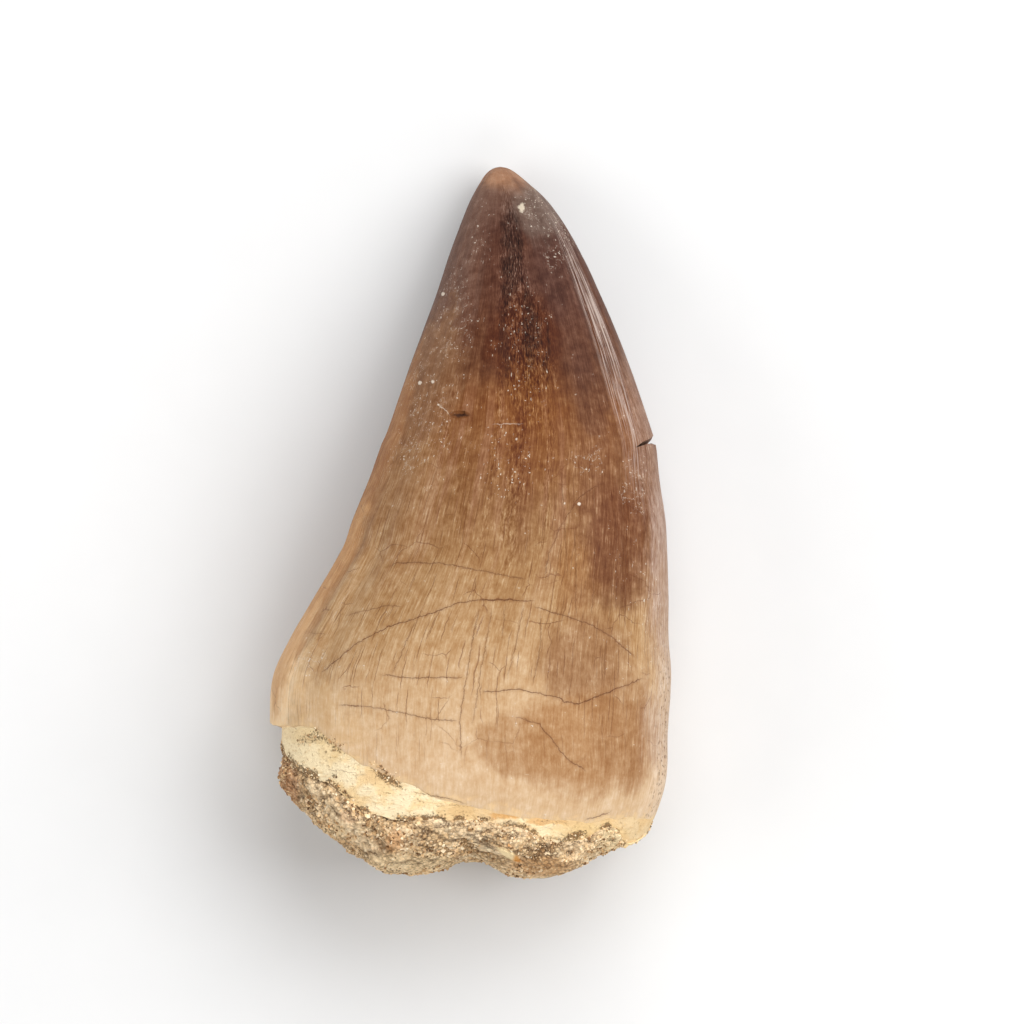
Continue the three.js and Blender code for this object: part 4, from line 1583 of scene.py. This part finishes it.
def dust_mask(graph, fields, shift):
    """White specks, short dashes and curly threads, thick in the dusty places and sparse elsewhere."""
    around_x, around_z, along = graph.split(fields.flow)
    drawn_out = graph.join(around_x, around_z, graph.math("DIVIDE", along, DUST_DASH_STRETCH))
    dots = specks(graph, fields.ragged, *DUST_SPECKS)
    dashes = specks(graph, shaken(graph, drawn_out, fields.crisp, DASH_SHAKE), *DUST_DASHES)
    dusty = any_oval(graph, shaken(graph, fields.place, fields.soft, DUST_SHAKE), DUSTY_PLACES)
    bend = graph.math("SUBTRACT", graph.noise(fields.place, per_mm=1.6, detail=2.0), 0.5)
    threads = graph.times(
        graph.between(graph.math("ABSOLUTE", bend), *THREAD_EDGE),
        graph.between(fields.cloud, 0.49, 0.54),
        graph.between(dusty, 0.4, 0.8),
    )
    thickness = weighted_sum(graph, [(dusty, DUSTY_WEIGHT), (fields.cloud, 1.0)])
    dust = graph.times(graph.math("MAXIMUM", dots, dashes), graph.between(thickness, 0.57, 0.69))
    dust = graph.math("MAXIMUM", dust, graph.times(threads, THREAD_STRENGTH))
    crumb_place = shaken(graph, fields.place, fields.crisp, CRUMB_SHAKE)
    for x, y, size in CRUMBS:
        crumb = mark(graph, crumb_place, on_outer_face(x, y, shift), size, size, CRUMB_EDGE)
        dust = graph.math("MAXIMUM", dust, crumb)
    return dust


def pore_mask(graph, fields):
    """Coarse pores low on the right flank."""
    on_flank = graph.between(fields.degrees, *PORE_DEGREES)
    low_down = graph.times(graph.between(fields.along, *PORES_SET_IN), fields.upper)
    return graph.times(specks(graph, fields.ragged, *FLANK_PORES), on_flank, low_down)


def spot_and_chip(graph, fields, shift):
    """The pale spot near the tip, the chip, and the chip's dark middle with its painted shade, as three
    masks.
    """
    spot = mark(graph, fields.ragged, on_outer_face(*SPOT[:2], shift), *SPOT[2:], SPOT_EDGE)
    chip = graph.times(oval(graph, fields.place, *CHIP, CHIP_EDGE), fields.upper)
    shaded_core = graph.times(oval(graph, fields.ragged, *CHIP_SHADED_CORE, CHIP_SHADED_CORE_EDGE), fields.upper)
    return spot, chip, shaded_core


def enamel_material(shift):
    """Fossil enamel: dark tip and pale margin, streaked, cracked and speckled, with a dull gloss."""
    material, graph, shader = new_material("old_enamel", IOR=1.5, Specular_IOR_Level=0.13)
    fields = EnamelFields(graph)
    hairs = fine_cracks(graph, fields)
    cracks, stain, scratches = crack_masks(graph, fields.place)
    dust = dust_mask(graph, fields, shift)
    pores = pore_mask(graph, fields)
    spot, chip, shaded_core = spot_and_chip(graph, fields, shift)
    marks = [
        (hairs, CRACK_BROWN, 0.5),
        (stain, CRACK_BROWN, 0.12),
        (cracks, CRACK_BROWN, 0.56),
        (scratches, DUST_WHITE, 0.45),
        (dust, DUST_WHITE, 0.72),
        (pores, PORE_BROWN, 0.85),
        (spot, SPOT_WHITE, 0.85),
        (chip, CHIP_RED, 0.85),
        # Painted shade deepening the middle of the chip.
        (shaded_core, CHIP_BROWN_AND_SHADE, 0.85),
    ]
    heights = [
        (fields.fine, 0.02),
        (fields.silk, 0.02),
        (fields.bands, 0.05),
        (fields.cloud, 0.03),
        (graph.times(fields.dashes, fields.rough), 0.05),
        (cracks, -0.05),
        (hairs, -0.02),
        (dust, 0.03),
        (pores, -0.1),
    ]
    colour = paint_masks(graph, streaked(graph, fields, ground_colour(graph, fields)), marks)
    roughness = graph.math("MULTIPLY_ADD", fields.sheen_band, -0.08, graph.spread(fields.cloud, 0.4, 0.75))
    finish_surface(graph, shader, colour, weighted_sum(graph, heights), roughness)
    return material


def dentine_material():
    """Bare dentine between the enamel and the rock: cream, stained, dry and finely porous."""
    material, graph, shader = new_material("dentine", IOR=1.5, Specular_IOR_Level=0.2)
    place = place_in_mm(graph)
    ragged = shaken(graph, place, unrest(graph, place, per_mm=4.0, detail=2.0), MARK_SHAKE)
    uneven = shaken(graph, place, unrest(graph, place, per_mm=0.7), DENTINE_SHAKE)
    mottle = graph.noise(place, per_mm=0.5, detail=5.0)
    grain = graph.noise(place, per_mm=5.0, detail=4.0, roughness=0.7)
    drawn_out = graph.vector("MULTIPLY", uneven, LAYER_STRETCH)
    layers = graph.noise(drawn_out, per_mm=0.9, detail=4.0, roughness=0.65)
    pits = specks(graph, ragged, *DENTINE_PITS)
    fibres = specks(graph, graph.vector("MULTIPLY", uneven, FIBRE_STRETCH), *DENTINE_FIBRES)
    crust_cover = graph.attribute("crust")
    crust = graph.between(graph.math("MULTIPLY_ADD", crust_cover, 0.3, grain), 0.6, 0.78)
    marks = [
        (graph.between(layers, 0.54, 0.68), DENTINE_TAN, 0.45),
        (graph.between(grain, 0.56, 0.72), DENTINE_TAN, 0.5),
        (fibres, CRUST_BROWN, 0.45),
        (pits, CRUST_BROWN, 0.6),
        (crust_cover, CRUST_HALO, 0.45),
        (graph.times(crust, graph.between(crust_cover, 0.0, 0.2)), CRUST_BROWN, 0.75),
        (crack_masks(graph, place)[0], CRACK_BROWN, 0.7),
    ]
    colour = graph.paint(linear(DENTINE_CREAM), DENTINE_PALE, graph.between(mottle, 0.42, 0.58))
    # Among them a pale patch of painted light at the dentine's left end.
    colour = paint_patches(graph, colour, uneven, DENTINE_PATCHES, layers)
    colour = paint_masks(graph, colour, marks)
    height = weighted_sum(graph, [(grain, 0.08), (layers, 0.16), (pits, -0.12), (mottle, 0.3), (crust, 0.12)])
    finish_surface(graph, shader, colour, height, graph.spread(grain, 0.65, 0.9))
    return material


def rock_material():
    """Sandy phosphate rock: pale tan cement full of grains, dark in its gaps, with cream bone shards."""
    material, graph, shader = new_material("sandy_rock", IOR=1.5, Specular_IOR_Level=0.2)
    place = place_in_mm(graph)
    uneven = shaken(graph, place, unrest(graph, place, per_mm=3.0), ROCK_SHAKE)
    cells = graph.tree.nodes.new("ShaderNodeTexVoronoi")
    graph.feed(cells.inputs["Vector"], uneven)
    graph.feed(cells.inputs["Scale"], ROCK_CELLS_PER_MM)
    tone = graph.split(cells.outputs["Color"])[0]
    gritty = graph.between(graph.noise(place, per_mm=0.45, detail=4.0), 0.35, 0.6)
    crumb = graph.noise(place, per_mm=4.5, detail=3.0, roughness=0.7)
    speckle = graph.between(graph.noise(place, per_mm=8.0, detail=2.0), 0.4, 0.58)
    between_cells = graph.between(cells.outputs["Distance"], 0.4, 0.75)
    gaps = graph.times(between_cells, graph.spread(gritty, *DARK_STRENGTHS))
    low_gravel = graph.between(graph.attribute("gravel"), 0.6, 0.42)
    creases = graph.times(low_gravel, graph.spread(speckle, *DARK_STRENGTHS))
    colour = graph.paint(linear(ROCK_TAN), ROCK_BROWN, gritty)
    colour = graph.tint(colour, graph.ramp(tone, GRAIN_COLOURS), 0.4)
    colour = paint_patches(graph, colour, uneven, ROCK_PATCHES, crumb)
    # Painted shade in the gaps between grains and in the low creases of the gravel.
    colour = paint_masks(graph, colour, [(gaps, ROCK_SHADE, 0.5), (creases, ROCK_SHADE, 0.78)])
    shard_end = oval(graph, place, *SHARD_END, SHARD_END_EDGE)
    shard_colour = graph.paint(linear(SHARD_CREAM), SHARD_ORANGE, shard_end)
    shard_colour = graph.paint(shard_colour, DENTINE_TAN, graph.between(crumb, 0.55, 0.75))
    colour = graph.tint(colour, shard_colour, graph.attribute("shard"))
    height = weighted_sum(graph, [(gaps, -0.08), (crumb, 0.1), (tone, 0.06)])
    finish_surface(graph, shader, colour, height, graph.spread(crumb, 0.85, 1.0))
    return material


def sand_material():
    """Single quartz and phosphate grains, from brown to white."""
    material, graph, shader = new_material("sand", IOR=1.54, Specular_IOR_Level=0.25)
    dirt = graph.noise(place_in_mm(graph), per_mm=5.0, detail=3.0)
    colour = graph.ramp(graph.attribute("tone"), GRAIN_COLOURS)
    colour = graph.paint(colour, ROCK_BROWN, graph.between(dirt, 0.5, 0.75), 0.6)
    finish_surface(graph, shader, colour, graph.times(dirt, 0.04), graph.spread(dirt, 0.6, 0.95))
    return material


def floor_material():
    material, graph, shader = new_material("pale_floor", Roughness=0.9, Specular_IOR_Level=0.2)
    mottle = graph.noise(place_in_mm(graph), per_mm=0.2, detail=2.0)
    graph.feed(shader["Base Color"], graph.paint(linear(PALE_FLOOR), PALER_FLOOR, mottle))
    return material


# ---- Stage ----


def make_floor():
    half = FLOOR_SIZE / 2
    drop = -FLOOR_DROP * MM
    corners = np.array([(-half, -half, drop), (half, -half, drop), (half, half, drop), (-half, half, drop)])
    floor = new_piece("floor", corners, [(0, 1, 2, 3)])
    floor.data.materials.append(floor_material())


def make_lamp(azimuth, elevation, watts):
    lamp = bpy.data.lights.new("softbox", "AREA")
    lamp.shape = "DISK"
    lamp.size = LAMP_SIZE
    lamp.energy = watts
    box = linked("softbox", lamp)
    turn, rise = np.radians(azimuth), np.radians(elevation)
    direction = Vector((np.cos(rise) * np.cos(turn), np.cos(rise) * np.sin(turn), np.sin(rise)))
    box.location = direction * LAMP_DISTANCE
    box.rotation_euler = direction.to_track_quat("Z", "Y").to_euler()


def make_light():
    for azimuth, elevation, watts in LAMPS:
        make_lamp(azimuth, elevation, watts)
    world = bpy.data.worlds.new("soft sky")
    world.use_nodes = True
    background = world.node_tree.nodes["Background"].inputs
    background["Color"].default_value = (1, 1, 1, 1)
    background["Strength"].default_value = SKY_BRIGHTNESS
    bpy.context.scene.world = world


def make_camera():
    camera = bpy.data.cameras.new("camera")
    camera.lens = LENS
    camera.sensor_width = SENSOR
    camera.clip_end = VIEW_DEPTH
    above = linked("camera", camera)
    away = VIEW_WIDTH * LENS / SENSOR
    above.location = Vector((*VIEW_CENTRE, OUTLINE_HEIGHT + away)) * MM
    bpy.context.scene.camera = above


def main():
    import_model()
    bpy.context.scene.view_settings.view_transform = "Standard"
    make_groups()
    make_camera()
    make_light()
    make_floor()
    tooth, shift = make_tooth()
    rock = make_rock(shift)
    sand = sand_material()
    rock_sand = scatter_grains("rock_sand", rock, "grit", GRAINS_PER_MM2, ROCK_GRAIN_SIZE, sand)
    crust_sand = scatter_grains("crust_sand", tooth, "crust", CRUST_GRAINS_PER_MM2, CRUST_GRAIN_SIZE, sand)
    for piece, node, slot in [
        (tooth, "tooth", "enamel"),
        (crust_sand, "tooth", "enamel"),
        (rock, "matrix", "sandy_rock"),
        (rock_sand, "matrix", "sandy_rock"),
    ]:
        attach(piece, "root")
        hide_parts(node)


main()
